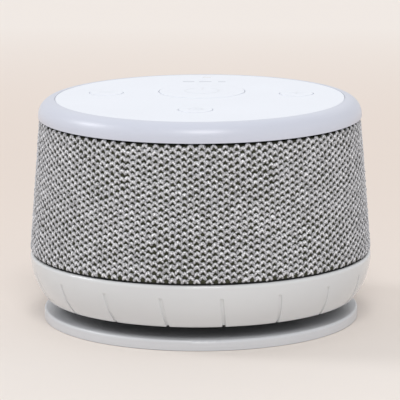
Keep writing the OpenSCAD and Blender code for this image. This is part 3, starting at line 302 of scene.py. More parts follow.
# ---------------------------------------------------------------- power socket
# A barrel socket with a black nylon body, clipped into the column's pocket, and its turned pin, which is
# nickel-plated.
black_nylon = moulded("black_nylon", "#18181a", 0.4, 0.4, 0.006)
nickel = metal("turned_nickel_plate", "#cfcabb", 0.22, 0.15, lie=(1, 20, 1), mark_depth_mm=0.004)
dress(black_nylon, "dc_jack")
dress(nickel, "dc_jack_pin")


# ---------------------------------------------------------------- fan chamber
# The ribbed base pan, the drum with its row of tone windows and the lid, all moulded in charcoal ABS and
# screwed together. A slippery acetal ring on the pan carries the turning shutter.
dark_shell = moulded("charcoal_abs", "#2b2c30", 0.5)
acetal = moulded("white_acetal", "#efeee9", 0.3, 0.4, 0.004, ior=1.48)
dress(dark_shell, "base_pan", "tone_housing", "chamber_lid")
dress(zinc_plate, "pan_screws", "lid_screws")
dress(acetal, "glide_ring")


# ---------------------------------------------------------------- motor
# A small brushed motor: a drawn steel can with two ferrite magnets, a laminated armature with five coils on a
# ground shaft, bronze bushes and a plastic end cap. A pressed bracket carries it on three rubber isolators.
drawn_steel = metal("drawn_nickelled_steel", "#c3c7ca", 0.28, 0.5, lie=(20, 20, 1), mark_depth_mm=0.006)
ground_steel = metal("ground_steel", "#d0d3d6", 0.16, 0.2, lie=(1, 1, 12), mark_depth_mm=0.002)
laminations = metal("stacked_laminations", "#8b8f93", 0.42, 0.5, lie=(1, 1, 40), mark_depth_mm=0.05)
sintered_bronze = metal("sintered_bronze", "#a9814a", 0.5, 0.25, mark_depth_mm=0.02)
ferrite = moulded("pressed_ferrite", "#414347", 0.7, 0.3, 0.03, specular=0.4)
moulding_black = moulded("black_polyamide", "#1f2023", 0.45, 0.4, 0.008)
dress(zinc_plate, "motor_bracket", "bracket_screws", "motor_screws")
dress(rubber, "isolators")
dress(drawn_steel, "motor_can")
dress(ferrite, "motor_magnets")
dress(laminations, "armature")
dress(sintered_bronze, "motor_bushes")
dress(ground_steel, "motor_shaft")
dress(moulding_black, "motor_end_cap")
dress(acetal, "thrust_washers")

# The coils: enamelled copper wire wound round each pole, down one slot and up the next. A real coil's hundred
# turns or so are drawn as fourteen strands round its section.
armature_low, armature_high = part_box("armature")
POLES, COMMUTATOR_H = 5, 3 * MM
SLOT_HALF_ANGLE, COIL_HALF_ANGLE = np.radians([36, 32.6])
COIL_R = 10.1 * MM
COIL_OVER, COIL_REACH, COIL_THICK = 0.75 * MM, 1.6 * MM, 0.5 * MM
COIL_SQUARENESS, SECTION_SQUARENESS, COIL_RINGS, COIL_SIDES = 0.35, 0.6, 56, 56
STRANDS, STRAND_RISE = 14, 0.07 * MM


def squared(value, power):
    """The sine or cosine of a round path, pushed out towards the corners of a square: its sign times its size
    to power."""
    return np.sign(value) * np.abs(value) ** power


def coils():
    """The windings, one closed bundle for each pole. Along the path, angle and height round the pole are the
    cosine and sine of t, squared off. The section is an oval, long towards the axis, with a ripple for each
    strand of wire."""
    core_low, core_high = armature_low[2], armature_high[2] - COMMUTATOR_H
    t = np.linspace(0, 2 * np.pi, COIL_RINGS, endpoint=False)
    bend = COIL_HALF_ANGLE * squared(np.cos(t), COIL_SQUARENESS)
    height = ((core_high - core_low) / 2 + COIL_OVER) * squared(np.sin(t), COIL_SQUARENESS)
    middle = np.stack([COIL_R * np.cos(bend), COIL_R * np.sin(bend), (core_low + core_high) / 2 + height], -1)
    along = np.roll(middle, -1, 0) - np.roll(middle, 1, 0)
    along /= np.linalg.norm(along, axis=1, keepdims=True)
    lean = bend * SLOT_HALF_ANGLE / COIL_HALF_ANGLE
    reach = np.stack([np.cos(lean), np.sin(lean), 0 * lean], -1)
    across = np.cross(along, reach)
    across /= np.linalg.norm(across, axis=1, keepdims=True)
    a = np.linspace(0, 2 * np.pi, COIL_SIDES, endpoint=False)
    ripple = STRAND_RISE * np.abs(np.sin(STRANDS * a / 2)) - STRAND_RISE
    long_way = (COIL_REACH + ripple) * squared(np.cos(a), SECTION_SQUARENESS)
    short_way = (COIL_THICK + ripple) * squared(np.sin(a), SECTION_SQUARENESS)
    bundle = middle[:, None] + reach[:, None] * long_way[:, None] + across[:, None] * short_way[:, None]
    turn = (np.arange(POLES) + 0.5)[:, None, None] * 2 * np.pi / POLES
    x = bundle[..., 0] * np.cos(turn) - bundle[..., 1] * np.sin(turn)
    y = bundle[..., 0] * np.sin(turn) + bundle[..., 1] * np.cos(turn)
    return np.stack([x, y, bundle[..., 2] + 0 * turn], -1)


enamelled_copper = metal("enamelled_copper_wire", "#b8693a", 0.3, 0.4, mark_depth_mm=0.02)
copper_coils = close(skin("copper_coils", [coils()], enamelled_copper, round_rows=True))
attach(copper_coils, "rotor")


# ---------------------------------------------------------------- fan
# The impeller is moulded in natural polypropylene, with a turned brass insert in its hub. A blackened set
# screw clamps the insert on the motor's shaft.
polypropylene = moulded("natural_polypropylene", "#e6e6e2", 0.4, 0.5, 0.006, ior=1.49)
turned_brass = metal("turned_brass", "#c8a24a", 0.25, 0.2, lie=(1, 1, 16), mark_depth_mm=0.005)
black_oxide = metal("black_oxide_steel", "#3f4246", 0.45, 0.4)
dress(polypropylene, "impeller")
dress(turned_brass, "hub_insert")
dress(black_oxide, "hub_set_screw")


# ---------------------------------------------------------------- tone collar and shutter
# The white collar that a hand turns: a curved ABS shell with a full round lip and eighteen shallow leaning
# grip grooves that run out at its lower edge. Three lugs inside it hold the flange of the dark shutter.
collar_low, collar_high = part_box("tone_collar")
COLLAR_CURVE, COLLAR_WALL, COLLAR_RIM = 29.1 * MM, 2.4 * MM, 0.7 * MM
COLLAR_LIP, COLLAR_LOWER, COLLAR_FOOT_ROUND = 1.4 * MM, 0.5 * MM, 1.2 * MM
LIP_POINTS, FACE_POINTS, SOLE_POINTS, INSIDE_POINTS, RIM_POINTS = 12, 44, 9, 16, 8
GROOVES, GROOVE_W, GROOVE_EDGE = 18, 1.45 * MM, 0.12 * MM
GROOVE_DEPTH, GROOVE_NOTCH, GROOVE_BAND = 0.45 * MM, 0.7 * MM, 5.7 * MM
GROOVE_LEAN, GROOVE_END = np.radians(8), 0.7 * MM
NOTCH_START, NOTCH_RUN = 7 * MM, 6 * MM
GROOVE_MARGIN, GROOVE_COLUMNS, FIELD_COLUMNS = 1.25, 23, 12
LUGS, LUG_START, LUG_R, LUG_H, LUG_CIRCLE = 3, np.radians(-50), 3.2 * MM, 5 * MM, 70.1 * MM
LUG_BORE_R, LUG_BORE_DEPTH, LUG_DROP, LUG_STEPS = 1.02 * MM, 4 * MM, 2 * MM, 32


def smooth_step(value):
    """Rises from 0 to 1 as value does, level at both ends: 3 v squared less 2 v cubed."""
    v = np.clip(value, 0, 1)
    return v * v * (3 - 2 * v)


def collar_shell():
    """The collar's section carried round. The section is the lip, the big arc, the round foot, the inner arc
    and the lip's inner side. A groove is a push towards the arc's centre: its depth grows from the groove's
    upper end to the foot, and across the groove it falls off over a soft edge on both sides."""
    r_out, z_top, z_low = collar_high[0], collar_high[2] - COLLAR_LOWER, collar_low[2]
    axis = np.array([r_out - COLLAR_CURVE, z_top - COLLAR_RIM])
    foot_reach = COLLAR_CURVE - COLLAR_FOOT_ROUND
    foot_z = z_low + COLLAR_FOOT_ROUND
    foot = np.array([axis[0] + np.sqrt(foot_reach**2 - (axis[1] - foot_z) ** 2), foot_z])
    inner_reach = COLLAR_CURVE - COLLAR_WALL
    inner_angle = -np.arcsin((axis[1] - z_low) / inner_reach)
    lip_inside = COLLAR_WALL - COLLAR_LIP
    inner_end = -np.arcsin((lip_inside - COLLAR_RIM) / inner_reach)
    lip_angle = -np.arcsin((COLLAR_LIP - COLLAR_RIM) / COLLAR_CURVE)
    foot_angle = np.arctan2(foot[1] - axis[1], foot[0] - axis[0])
    lip = arc((r_out - COLLAR_LIP, z_top - COLLAR_LIP), COLLAR_LIP, np.pi / 2, 0, LIP_POINTS)
    face = arc(axis, COLLAR_CURVE, lip_angle, foot_angle, FACE_POINTS)[1:]
    sole = arc(foot, COLLAR_FOOT_ROUND, foot_angle, -np.pi / 2, SOLE_POINTS)[1:]
    inside = arc(axis, inner_reach, inner_angle, inner_end, INSIDE_POINTS)
    rim_centre = (r_out - COLLAR_LIP, z_top - lip_inside)
    rim = arc(rim_centre, lip_inside, np.pi, np.pi / 2, RIM_POINTS)[1:-1]
    outer = np.concatenate([lip, face, sole])
    inner = np.concatenate([inside, rim])
    face_centres = np.repeat(axis[None], len(lip) + len(face), 0)
    centres = np.concatenate([face_centres, np.repeat(foot[None], len(sole), 0)])
    inward = centres - outer
    inward /= np.linalg.norm(inward, axis=1, keepdims=True)

    groove_top = z_top - GROOVE_BAND
    below = groove_top - outer[:, 1]
    start = smooth_step(below / GROOVE_END)
    notch = smooth_step((below - NOTCH_START) / NOTCH_RUN)
    depth = start * (GROOVE_DEPTH + (GROOVE_NOTCH - GROOVE_DEPTH) * notch)
    near = np.linspace(-GROOVE_MARGIN, GROOVE_MARGIN, GROOVE_COLUMNS) * GROOVE_W / 2
    pitch = 2 * np.pi / GROOVES
    far = np.linspace(near[-1] / r_out, pitch - near[-1] / r_out, FIELD_COLUMNS)[1:-1]
    offsets = np.concatenate([near / r_out, far])
    across = 1 - smooth_step((np.abs(near) - GROOVE_W / 2 + GROOVE_EDGE) / (2 * GROOVE_EDGE))
    across = np.tile(np.concatenate([across, 0 * far]), GROOVES)
    columns = (np.arange(GROOVES)[:, None] * pitch + pitch / 2 - np.pi / 2 + offsets).ravel()

    push = depth[:, None] * across
    r = outer[:, :1] + inward[:, :1] * push
    z = outer[:, 1:] + inward[:, 1:] * push
    r = np.concatenate([r, inner[:, :1] + 0 * columns])
    z = np.concatenate([z, inner[:, 1:] + 0 * columns])
    row_z = np.concatenate([outer[:, 1], inner[:, 1]])[:, None]
    angle = columns + (groove_top - row_z) * np.tan(GROOVE_LEAN) / r_out
    return np.stack([r * np.cos(angle), r * np.sin(angle), z], -1)[None]


def lug(angle):
    """One lug under the shutter's flange: a post with a blind bore for the screw."""
    top = shutter_flange_z
    profile = [
        (0, top - LUG_H),
        (LUG_R, top - LUG_H),
        (LUG_R, top),
        (LUG_BORE_R, top),
        (LUG_BORE_R, top - LUG_BORE_DEPTH),
        (0, top - LUG_BORE_DEPTH),
    ]
    return lathe(profile, (LUG_CIRCLE * np.cos(angle), LUG_CIRCLE * np.sin(angle)), LUG_STEPS)


shutter_flange_z = collar_high[2] - LUG_DROP
lugs = [lug(LUG_START + k * 2 * np.pi / LUGS) for k in range(LUGS)]
collar = close(skin("collar_shell", [collar_shell()], white_shell, round_rows=True))
collar_lugs = close(skin("collar_lugs", lugs, white_shell))
for piece in (collar, collar_lugs):
    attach(piece, "collar")
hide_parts("tone_collar")
dress(dark_shell, "tone_shutter")
dress(zinc_plate, "collar_screws")


# ---------------------------------------------------------------- grille cage
# A slotted charcoal ABS cage that carries the cloth and lets the air and the sound out all round. Four screws
# hold it on the tone housing's flange.
dress(dark_shell, "grille_cage")
dress(zinc_plate, "cage_screws")


# ---------------------------------------------------------------- fabric sleeve
# A tube of coarse knitted polyester, light grey yarn over an olive-black backing, pulled over the cage from
# below and glued. The backing's colour is partly its own and partly painted shade for the pits between the
# stitches and the gap along the hem. Its lower hem turns in just above the collar and its upper edge tucks
# under the bezel.
sleeve_low, sleeve_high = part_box("fabric_sleeve")
bezel_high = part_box("top_bezel")[1]
HEM_DROP, HEM_LIFT, HEM_ROUND = 1.5 * MM, 1.2 * MM, 1.4 * MM
TUCK_ROUND, TUCK_BAND, TURN_IN = 0.8 * MM, 6 * MM, 4 * MM
CLOTH_T, YARN_RISE, BEZEL_INSET = 0.6 * MM, 0.6 * MM, 0.6 * MM
BEND_POINTS, CLOTH_STEP = 7, 0.6 * MM
LOOP_W, LOOP_RISE = 1.6 * MM, 0.2 * MM
hem_z, tuck_z = sleeve_low[2] - HEM_DROP, sleeve_high[2]
hem_r, tuck_r = sleeve_high[0], bezel_high[0] - BEZEL_INSET


def sleeve_outline(inset):
    """Section of the sleeve's face as (r, z) points from hem to upper edge, moved in by inset: a quarter
    circle out of the hem, the straight slanting wall, the narrow band drawn in below the bezel, a quarter
    circle and the turned edge."""
    hem = arc((hem_r - HEM_ROUND, hem_z + HEM_ROUND), HEM_ROUND - inset, -np.pi / 2, 0, BEND_POINTS)
    tuck = arc((tuck_r - TUCK_ROUND, tuck_z - TUCK_ROUND), TUCK_ROUND - inset, 0, np.pi / 2, BEND_POINTS)
    band = [[bezel_high[0] - inset, tuck_z - TUCK_BAND]]
    first = [[hem_r - TURN_IN, hem_z + HEM_LIFT + inset]]
    last = [[tuck_r - TURN_IN, tuck_z - inset]]
    return np.concatenate([first, hem, band, tuck, last])


def evenly(outline, step):
    """Points every step along an outline, how far along each lies, and the unit normal on its right."""
    pieces = np.linalg.norm(np.diff(outline, axis=0), axis=1)
    length = np.concatenate([[0], np.cumsum(pieces)])
    s = np.linspace(0, length[-1], int(length[-1] / step) + 1)
    points = np.stack([np.interp(s, length, outline[:, k]) for k in (0, 1)], -1)
    along = np.gradient(points, s, axis=0)
    along /= np.linalg.norm(along, axis=1, keepdims=True)
    return s, points, np.stack([along[:, 1], -along[:, 0]], -1)


# Painted shade: the backing is drawn darker than its own olive black, to stand for the shade in the pits and
# along the hem
backing_yarn_and_painted_shade, tree, place = new_material("olive_backing_knit_and_painted_shade")
loops = add(tree, "TexNoise", {"Vector": place, "Scale": 1 / LOOP_W, "Detail": 2.0})
tone = add(tree, "Mix", {
    "Factor": loops.outputs["Fac"], 6: linear("#1c1d15"), 7: linear("#525446")}, data_type="RGBA")
bump = add(tree, "Bump", {"Height": loops.outputs["Fac"], "Strength": 0.8, "Distance": LOOP_RISE})
shader = add(tree, "BsdfPrincipled", {
    "Base Color": tone.outputs[2], "Roughness": 0.95, "Specular IOR Level": 0.1,
    "Normal": bump.outputs["Normal"]})
add(tree, "OutputMaterial", {"Surface": shader.outputs["BSDF"]})

s, face, out = evenly(sleeve_outline(YARN_RISE), CLOTH_STEP)
wall = lathe(np.concatenate([face, (face - out * CLOTH_T)[::-1]]), steps=FINE_TURN_STEPS)
sleeve = close(skin("knit_backing", [wall], backing_yarn_and_painted_shade, round_rows=True), smooth_all=True)
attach(sleeve, "machine")
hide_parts("fabric_sleeve")

# The face yarn: one arch for each stitch, with its feet under the shoulders of the arches beside it. The
# courses climb round the tube like a thread with seven starts, as they do off a circular machine. A real yarn
# has hundreds of filaments. Here it has six sides with painted light round it: the outer side painted lit and
# the inner side painted in shade.
COLUMNS, STITCH_H, STARTS = 180, 2.6 * MM, 7
ARCH_W, ARCH_TOP, ARCH_DROP, ARCH_POWER = 3.5 * MM, 0.85 * MM, 2.2 * MM, 1.5
YARN_W, YARN_T, FOOT_DEPTH, YARN_SINK, FOOT_THINNER = 1.56 * MM, 0.85 * MM, 0.65 * MM, 0.1 * MM, 0.35
COLUMN_LEAN, FIRST_ROW, LAST_ROW = np.radians(0.2), 4.3 * MM, 4.2 * MM
EDGE_ROWS, RINGS, SEED = 8, 9, 7
# How far the stitches differ from each other: thickness, size, tilt, place along and out of the cloth, shade
FUZZ, SIZE_SPREAD, TILT, STRAY, RISE_SPREAD = 0.1, 0.05, np.radians(6), 0.08 * MM, 0.05 * MM
STITCH_SHADE, FIBRE_SHADE, DARKEST, LIGHTEST = 0.04, 0.2, 0.2, 1.6
# Painted light on the yarn: a painted highlight on the crown, painted shade towards the feet, and round the
# yarn the outer side painted lit and the inner side painted in shade
CROWN_PAINTED_HIGHLIGHT, FOOT_PAINTED_SHADE, FOOT_PAINTED_SHADE_POWER = 1.15, 0.6, 1.3
SIDE_PAINTED_LIGHT = np.array([1.4, 0.74, 0.42, 0.4, 0.42, 0.74])
SIDES = len(SIDE_PAINTED_LIGHT)
rng = np.random.default_rng(SEED)


def stitches(columns):
    """The arches of these columns, and how light their yarn is drawn: a random tone for each stitch and each
    point, times painted light, with a painted highlight on the crown and the yarn's outer side and painted
    shade at the feet and on its inner side. Along an arch t runs from -1 to 1: the yarn's middle lies at t
    times half the width and at the top less drop times |t| to a power, and it sinks from the crown to both
    feet with t squared.
    Every second column stands half a stitch higher. Near the edges the climb fades out, so that both end
    level."""
    reach = s[-1] - FIRST_ROW - LAST_ROW - STITCH_H / 2
    late = (-STARTS * columns / COLUMNS) % 1
    last = np.floor(reach / STITCH_H - late)
    spare = reach / STITCH_H - late - last
    row = np.arange(int(last.max()) + 1)[None]
    column, late, last, spare = [g[:, None] for g in (columns, late, last, spare)]
    after_first = np.clip(row / EDGE_ROWS, 0, 1)
    before_last = np.clip(1 - (last - row) / EDGE_ROWS, 0, 1)
    climb = (row + late * after_first + spare * before_last + 0.5 * (column % 2)) * STITCH_H
    column, climb = (column + 0 * row)[row <= last], climb[row <= last]
    count = len(column)
    t = np.linspace(-1, 1, RINGS)
    rise = YARN_T / 2 - FOOT_DEPTH * np.abs(t) ** 2
    drop = ARCH_DROP * np.abs(t) ** ARCH_POWER
    middle = np.stack([t * ARCH_W / 2, ARCH_TOP - drop, rise - YARN_SINK], -1)
    along = np.gradient(middle, axis=0)
    along /= np.linalg.norm(along, axis=1, keepdims=True)
    side = np.stack([-along[:, 1], along[:, 0], 0 * t], -1)
    side /= np.linalg.norm(side, axis=1, keepdims=True)
    up = np.cross(side, along)
    up *= np.sign(up[:, 2:])
    a = np.linspace(0, 2 * np.pi, SIDES, endpoint=False) + np.pi / 2
    full = np.where(np.abs(t) == 1, 0, 1 - FOOT_THINNER * t**2)
    fuzz = full * rng.normal(1, FUZZ, (count, RINGS))
    width = fuzz[..., None] * np.cos(a) * YARN_W / 2
    thick = fuzz[..., None] * np.sin(a) * YARN_T / 2
    arch = middle[:, None] + side[:, None] * width[..., None] + up[:, None] * thick[..., None]
    one_each = (count, 1, 1)
    local = arch * rng.normal(1, SIZE_SPREAD, (*one_each, 1))
    swing = rng.normal(0, TILT, one_each)
    x = local[..., 0] * np.cos(swing) - local[..., 1] * np.sin(swing) + rng.normal(0, STRAY, one_each)
    y = local[..., 0] * np.sin(swing) + local[..., 1] * np.cos(swing) + rng.normal(0, STRAY, one_each)
    h = local[..., 2] + rng.normal(0, RISE_SPREAD, one_each)
    height = FIRST_ROW + climb[:, None, None] + y
    r = np.interp(height, s, face[:, 0]) + h * np.interp(height, s, out[:, 0])
    z = np.interp(height, s, face[:, 1]) + h * np.interp(height, s, out[:, 1])
    lean = -np.tan(COLUMN_LEAN) * (z - (hem_z + tuck_z) / 2) / hem_r
    angle = column[:, None, None] * 2 * np.pi / COLUMNS + x / r + lean
    # Painted highlight at the crown and painted shade at the feet, times painted light round the yarn, then a
    # random tone for each stitch and each point
    crown_and_foot_painted_light = CROWN_PAINTED_HIGHLIGHT - FOOT_PAINTED_SHADE * np.abs(t) ** FOOT_PAINTED_SHADE_POWER
    yarn_tone_and_painted_light = crown_and_foot_painted_light[:, None] * SIDE_PAINTED_LIGHT * rng.normal(1, STITCH_SHADE, one_each)
    yarn_tone_and_painted_light = yarn_tone_and_painted_light * rng.normal(1, FIBRE_SHADE, (count, RINGS, SIDES))
    yarn_tone_and_painted_light = np.clip(yarn_tone_and_painted_light, DARKEST, LIGHTEST)
    return np.stack([r * np.cos(angle), r * np.sin(angle), z], -1), yarn_tone_and_painted_light.ravel()


TILE_MARGIN = 0.04


def bake_map(piece, count):
    """A UV map with one square tile for each stitch: along the yarn in U and round it in V."""
    tiles = int(np.ceil(np.sqrt(count)))
    ring, side = np.meshgrid(np.arange(RINGS - 1), np.arange(SIDES), indexing="ij")
    corners = ((0, 0), (0, 1), (1, 1), (1, 0))
    u = np.stack([(ring + di) / (RINGS - 1) for di, dj in corners], -1).ravel()
    v = np.stack([(side + dj) / SIDES for di, dj in corners], -1).ravel()
    tile = np.arange(count)[:, None]
    u, v = (TILE_MARGIN + (1 - 2 * TILE_MARGIN) * g for g in (u, v))
    spot = np.stack([(tile % tiles + u) / tiles, (tile // tiles + v) / tiles], -1)
    piece.data.uv_layers.new(name="OFBake").data.foreach_set("uv", spot.astype(np.float32).ravel())


def knit(name, columns, material):
    """A piece with the stitches of these columns, each stitch a closed tube with pointed ends."""
    points, yarn_tone_and_painted_light = stitches(columns)
    piece = skin(name, [points], material)
    piece.data.attributes.new("yarn_tone_and_painted_light", "FLOAT", "POINT").data.foreach_set("value", yarn_tone_and_painted_light.astype(np.float32))
    bake_map(piece, len(points))
    close(piece, smooth_all=True)
    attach(piece, "machine")
    return piece


# Spun polyester yarn. Its fibres, 0.02 mm thick, are drawn as noise of 0.5 mm, the finest that shows.
FIBRE_W, FIBRE_RISE = 0.5 * MM, 0.15 * MM
face_yarn, tree, place = new_material("light_grey_knit_yarn")
# The shade attribute is each stitch's random tone times painted light: painted highlights on crowns and outer
# sides, painted shade at feet and inner sides
yarn_tone_and_painted_light = add(tree, "Attribute", attribute_name="yarn_tone_and_painted_light").outputs["Fac"]
fibre = add(tree, "TexNoise", {"Vector": place, "Scale": 1 / FIBRE_W, "Detail": 1.0, "Roughness": 0.6})
level = add(tree, "MapRange", {
    "Value": fibre.outputs["Fac"], "From Min": 0.3, "From Max": 0.7, "To Min": 0.35, "To Max": 1.45})
level = add(tree, "Math", {0: level.outputs["Result"], 1: yarn_tone_and_painted_light}, operation="MULTIPLY")
tone = add(tree, "Mix", {
    "Factor": 1.0, 6: linear("#c6c7cb"), 7: level.outputs["Value"]},
    data_type="RGBA", blend_type="MULTIPLY")
bump = add(tree, "Bump", {"Height": fibre.outputs["Fac"], "Strength": 0.8, "Distance": FIBRE_RISE})
shader = add(tree, "BsdfPrincipled", {
    "Base Color": tone.outputs[2], "Roughness": 0.85, "Specular IOR Level": 0.2,
    "Normal": bump.outputs["Normal"], "Sheen Weight": 0.15, "Sheen Roughness": 0.5})
add(tree, "OutputMaterial", {"Surface": shader.outputs["BSDF"]})

knit_back = knit("knit_back", np.arange(COLUMNS // 2), face_yarn)
knit_front = knit("knit_front", np.arange(COLUMNS // 2, COLUMNS), face_yarn)


# ---------------------------------------------------------------- leads
# The two leads kept inside. Black PVC runs from the power socket through column, pan and lid up to the board,
# and red PVC from the motor to the board. Both end in connectors.
dress(moulded("black_pvc", "#1b1b1c", 0.35, 0.8, 0.01), "power_lead")
dress(moulded("red_pvc", "#8c2f2a", 0.35, 0.8, 0.01), "motor_lead")


# ---------------------------------------------------------------- control board
# A glass-epoxy board with a green solder mask over its copper tracks and tinned vias. It carries the four
# switches, two chips, two capacitors, two sockets and the lights, and hangs from the plate on four screws.
# Its tracks and vias are drawn fewer and coarser than real.
TRACK_PITCH, VIA_PITCH, VIA_R, MASK_RISE = 9 * MM, 5 * MM, 0.11, 0.05 * MM
solder_mask, tree, place = new_material("green_solder_mask")
tracks = add(tree, "TexBrick", {
    "Vector": place, "Scale": 1 / TRACK_PITCH, "Color1": linear("#174a30"), "Color2": linear("#1b5236"),
    "Mortar": linear("#2c7350"), "Mortar Size": 0.028, "Mortar Smooth": 0.1, "Brick Width": 0.62,
    "Row Height": 0.21},
    offset=0.37, squash=1.7, squash_frequency=3)
vias = add(tree, "TexVoronoi", {"Vector": place, "Scale": 1 / VIA_PITCH, "Randomness": 0.9})
tinned = add(tree, "Math", {0: vias.outputs["Distance"], 1: VIA_R}, operation="LESS_THAN").outputs["Value"]
tone = add(tree, "Mix", {
    "Factor": tinned, 6: tracks.outputs["Color"], 7: linear("#c8cacb")}, data_type="RGBA")
bump = add(tree, "Bump", {"Height": tracks.outputs["Fac"], "Strength": 0.6, "Distance": MASK_RISE})
shader = add(tree, "BsdfPrincipled", {
    "Base Color": tone.outputs[2], "Metallic": tinned, "Roughness": 0.3, "IOR": 1.52,
    "Normal": bump.outputs["Normal"]})
add(tree, "OutputMaterial", {"Surface": shader.outputs["BSDF"]})
pressed_steel = metal("pressed_steel", "#c4c7ca", 0.3, 0.5)
aluminium = metal("drawn_aluminium", "#b9bcc0", 0.3, 0.4, lie=(20, 20, 1))
epoxy = moulded("black_epoxy", "#1b1c1e", 0.55, 0.3, 0.01, ior=1.55)
cream_nylon = moulded("cream_nylon", "#efece0", 0.4, 0.4, 0.006)
phosphor = moulded("led_phosphor", "#f0ebc8", 0.35, 0.4, 0.004)
dress(solder_mask, "control_board")
dress(zinc_plate, "board_screws")
dress(pressed_steel, "switch_bodies")
dress(black_nylon, "power_plunger", "minus_plunger", "plus_plunger", "timer_plunger")
dress(epoxy, "control_chip", "driver_chip")
dress(aluminium, "board_capacitors")
dress(cream_nylon, "lead_connectors")
dress(phosphor, "status_leds")


# ---------------------------------------------------------------- lights
# A frosted polycarbonate guide whose three prongs end flush in the plate, and an opal lens near the plate's
# back edge.
frosted = moulded("frosted_polycarbonate", "#c6cad4", 0.45, 0.4, 0.004, ior=1.58)
opal = moulded("opal_polycarbonate", "#f6f8fd", 0.2, 0.4, 0.002, ior=1.58)
dress(frosted, "status_light_guide")
dress(opal, "indicator_lens")


# ---------------------------------------------------------------- buttons
# Four white ABS buttons, a little crowned and a hair proud of the plate. Each has a retaining rim below the
# plate and a stem to its switch, guided by the key frame. Their marks are pad-printed in a faint grey.
PROUD, CROWN, CAP_ROUND = 0.26 * MM, 0.1 * MM, 0.2 * MM
PLATE_T, RUN_GAP = 2.4 * MM, 0.3 * MM
KEY_RIM, KEY_RIM_T, KEY_WALL = 1.2 * MM, 1.4 * MM, 1.8 * MM
STEM_R, STEM_ROOT = 2.5 * MM, 0.9 * MM
GUIDE_R, GUIDE_SHARE, GUIDE_LOWER = 1.6 * MM, 0.74, 7.2 * MM
GUIDES, GUIDE_START, GUIDE_STEPS = 3, np.radians(30), 24
CROWN_POINTS, CAP_EDGE_POINTS = 8, 6
plate_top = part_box("top_plate")[1][2]
rim_top = plate_top - PLATE_T - RUN_GAP
rim_low = rim_top - KEY_RIM_T
white_keys = moulded("silk_white_abs", "#eff3fb", 0.42, 0.5, 0.004)
grey_ink = moulded("pad_printed_ink", "#e8ecf4", 0.3, 0.4, 0.003)


def cap_height(share):
    """Height of a cap's face at a share of its radius: crowned, so it falls with the share squared."""
    return plate_top + PROUD - CROWN * share**2


def button(node, body):
    """A button turned from its section: crowned face, round edge, side, retaining rim, hollow and stem."""
    low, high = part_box(node)
    centre = ((low[0] + high[0]) / 2, (low[1] + high[1]) / 2)
    r = (high[0] - low[0]) / 2 - KEY_RIM
    flat_r = r - CAP_ROUND
    share = np.linspace(0, 1, CROWN_POINTS)
    crowned = np.stack([flat_r * share, cap_height(share)], -1)
    edge = arc((flat_r, cap_height(1) - CAP_ROUND), CAP_ROUND, np.pi / 2, 0, CAP_EDGE_POINTS)[1:]
    below = [
        (r, rim_top),
        (r + KEY_RIM, rim_top),
        (r + KEY_RIM, rim_low),
        (r - KEY_WALL, rim_low),
        (r - KEY_WALL, rim_top),
        (STEM_R + STEM_ROOT, rim_top),
        (STEM_R + STEM_ROOT, rim_low),
        (STEM_R, rim_low),
        (STEM_R, low[2]),
        (0, low[2]),
    ]
    grids = [lathe(np.concatenate([crowned, edge, below]), centre)]
    if node == "power_button":
        post_top, post_low = rim_low + GUIDE_R, plate_top - GUIDE_LOWER
        post = [(0, post_top), (GUIDE_R, post_top), (GUIDE_R, post_low), (0, post_low)]
        for k in range(GUIDES):
            a = GUIDE_START + k * 2 * np.pi / GUIDES
            at = (centre[0] + r * GUIDE_SHARE * np.cos(a), centre[1] + r * GUIDE_SHARE * np.sin(a))
            grids.append(lathe(post, at, GUIDE_STEPS))
    piece = close(skin(node + "_cap", grids, white_keys))
    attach(piece, body)
    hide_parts(node)
    return centre, r


INK_T, MARK_W = 0.05 * MM, 0.9 * MM
LINE_POINTS, RING_POINTS = 9, 40


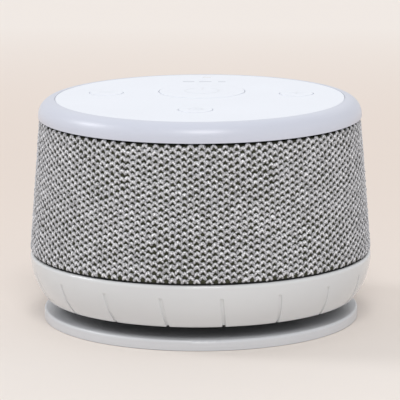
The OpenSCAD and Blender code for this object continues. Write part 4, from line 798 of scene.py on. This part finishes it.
def stroke(path, width, centre, r):
    """A printed line: a flat band of ink along a path of (x, y) points from the button's middle, closed at
    both ends. It lies on the crowned face of a cap with radius r, and is INK_T thick."""
    path = np.asarray(path, float)
    along = np.gradient(path, axis=0)
    along /= np.linalg.norm(along, axis=1, keepdims=True)
    side = np.stack([-along[:, 1], along[:, 0]], -1) * width / 2
    path = np.concatenate([path[:1], path, path[-1:]])
    side = np.concatenate([0 * side[:1], side, 0 * side[-1:]])
    reach = np.array([-1, 1, 1, -1])
    lift = np.array([0, 0, 1, 1]) * INK_T
    flat = path[:, None] + side[:, None] * reach[:, None]
    z = cap_height(np.linalg.norm(flat, axis=-1) / r) + lift * (np.linalg.norm(side, axis=-1) > 0)[:, None]
    return np.concatenate([flat + np.array(centre), z[..., None]], -1)[None]


def line(start, end):
    """Points of a straight line from start to end."""
    return np.linspace(start, end, LINE_POINTS)


def ring(radius, start, end):
    """Points of a circle round the button's middle, between two angles in degrees."""
    return arc((0, 0), radius, np.radians(start), np.radians(end), RING_POINTS)


RING_R, RING_START, RING_END = 7.5 * MM, 120, 420
BAR_LOW, BAR_HIGH, SIGN_HALF = 2.5 * MM, 9.5 * MM, 3.2 * MM
DIAL_R, LONG_HAND, SHORT_HAND = 3 * MM, 2 * MM, 1.5 * MM
marks = {
    "power": [ring(RING_R, RING_START, RING_END), line((0, BAR_LOW), (0, BAR_HIGH))],
    "minus": [line((-SIGN_HALF, 0), (SIGN_HALF, 0))],
    "plus": [line((-SIGN_HALF, 0), (SIGN_HALF, 0)), line((0, -SIGN_HALF), (0, SIGN_HALF))],
    "timer": [ring(DIAL_R, 0, 360), line((0, 0), (0, LONG_HAND)), line((0, 0), (SHORT_HAND, 0))],
}
for key, paths in marks.items():
    centre, r = button(key + "_button", key + "_key")
    mark = close(skin(key + "_mark", [stroke(path, MARK_W, centre, r) for path in paths], grey_ink))
    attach(mark, key + "_key")
dress(dark_shell, "key_frame")
dress(zinc_plate, "frame_screws")


# ---------------------------------------------------------------- top
# The satin white bezel, screwed down through the cage's upper flange, and the silk white plate that snaps
# into it. Both are moulded in ABS.
satin_bezel = moulded("blue_white_abs", "#d0d4e1", 0.32, 0.5, 0.003)
silk_plate = moulded("silk_white_abs_plate", "#eff3fb", 0.42, 0.5, 0.004)
dress(satin_bezel, "top_bezel")
dress(silk_plate, "top_plate")
dress(zinc_plate, "bezel_screws")
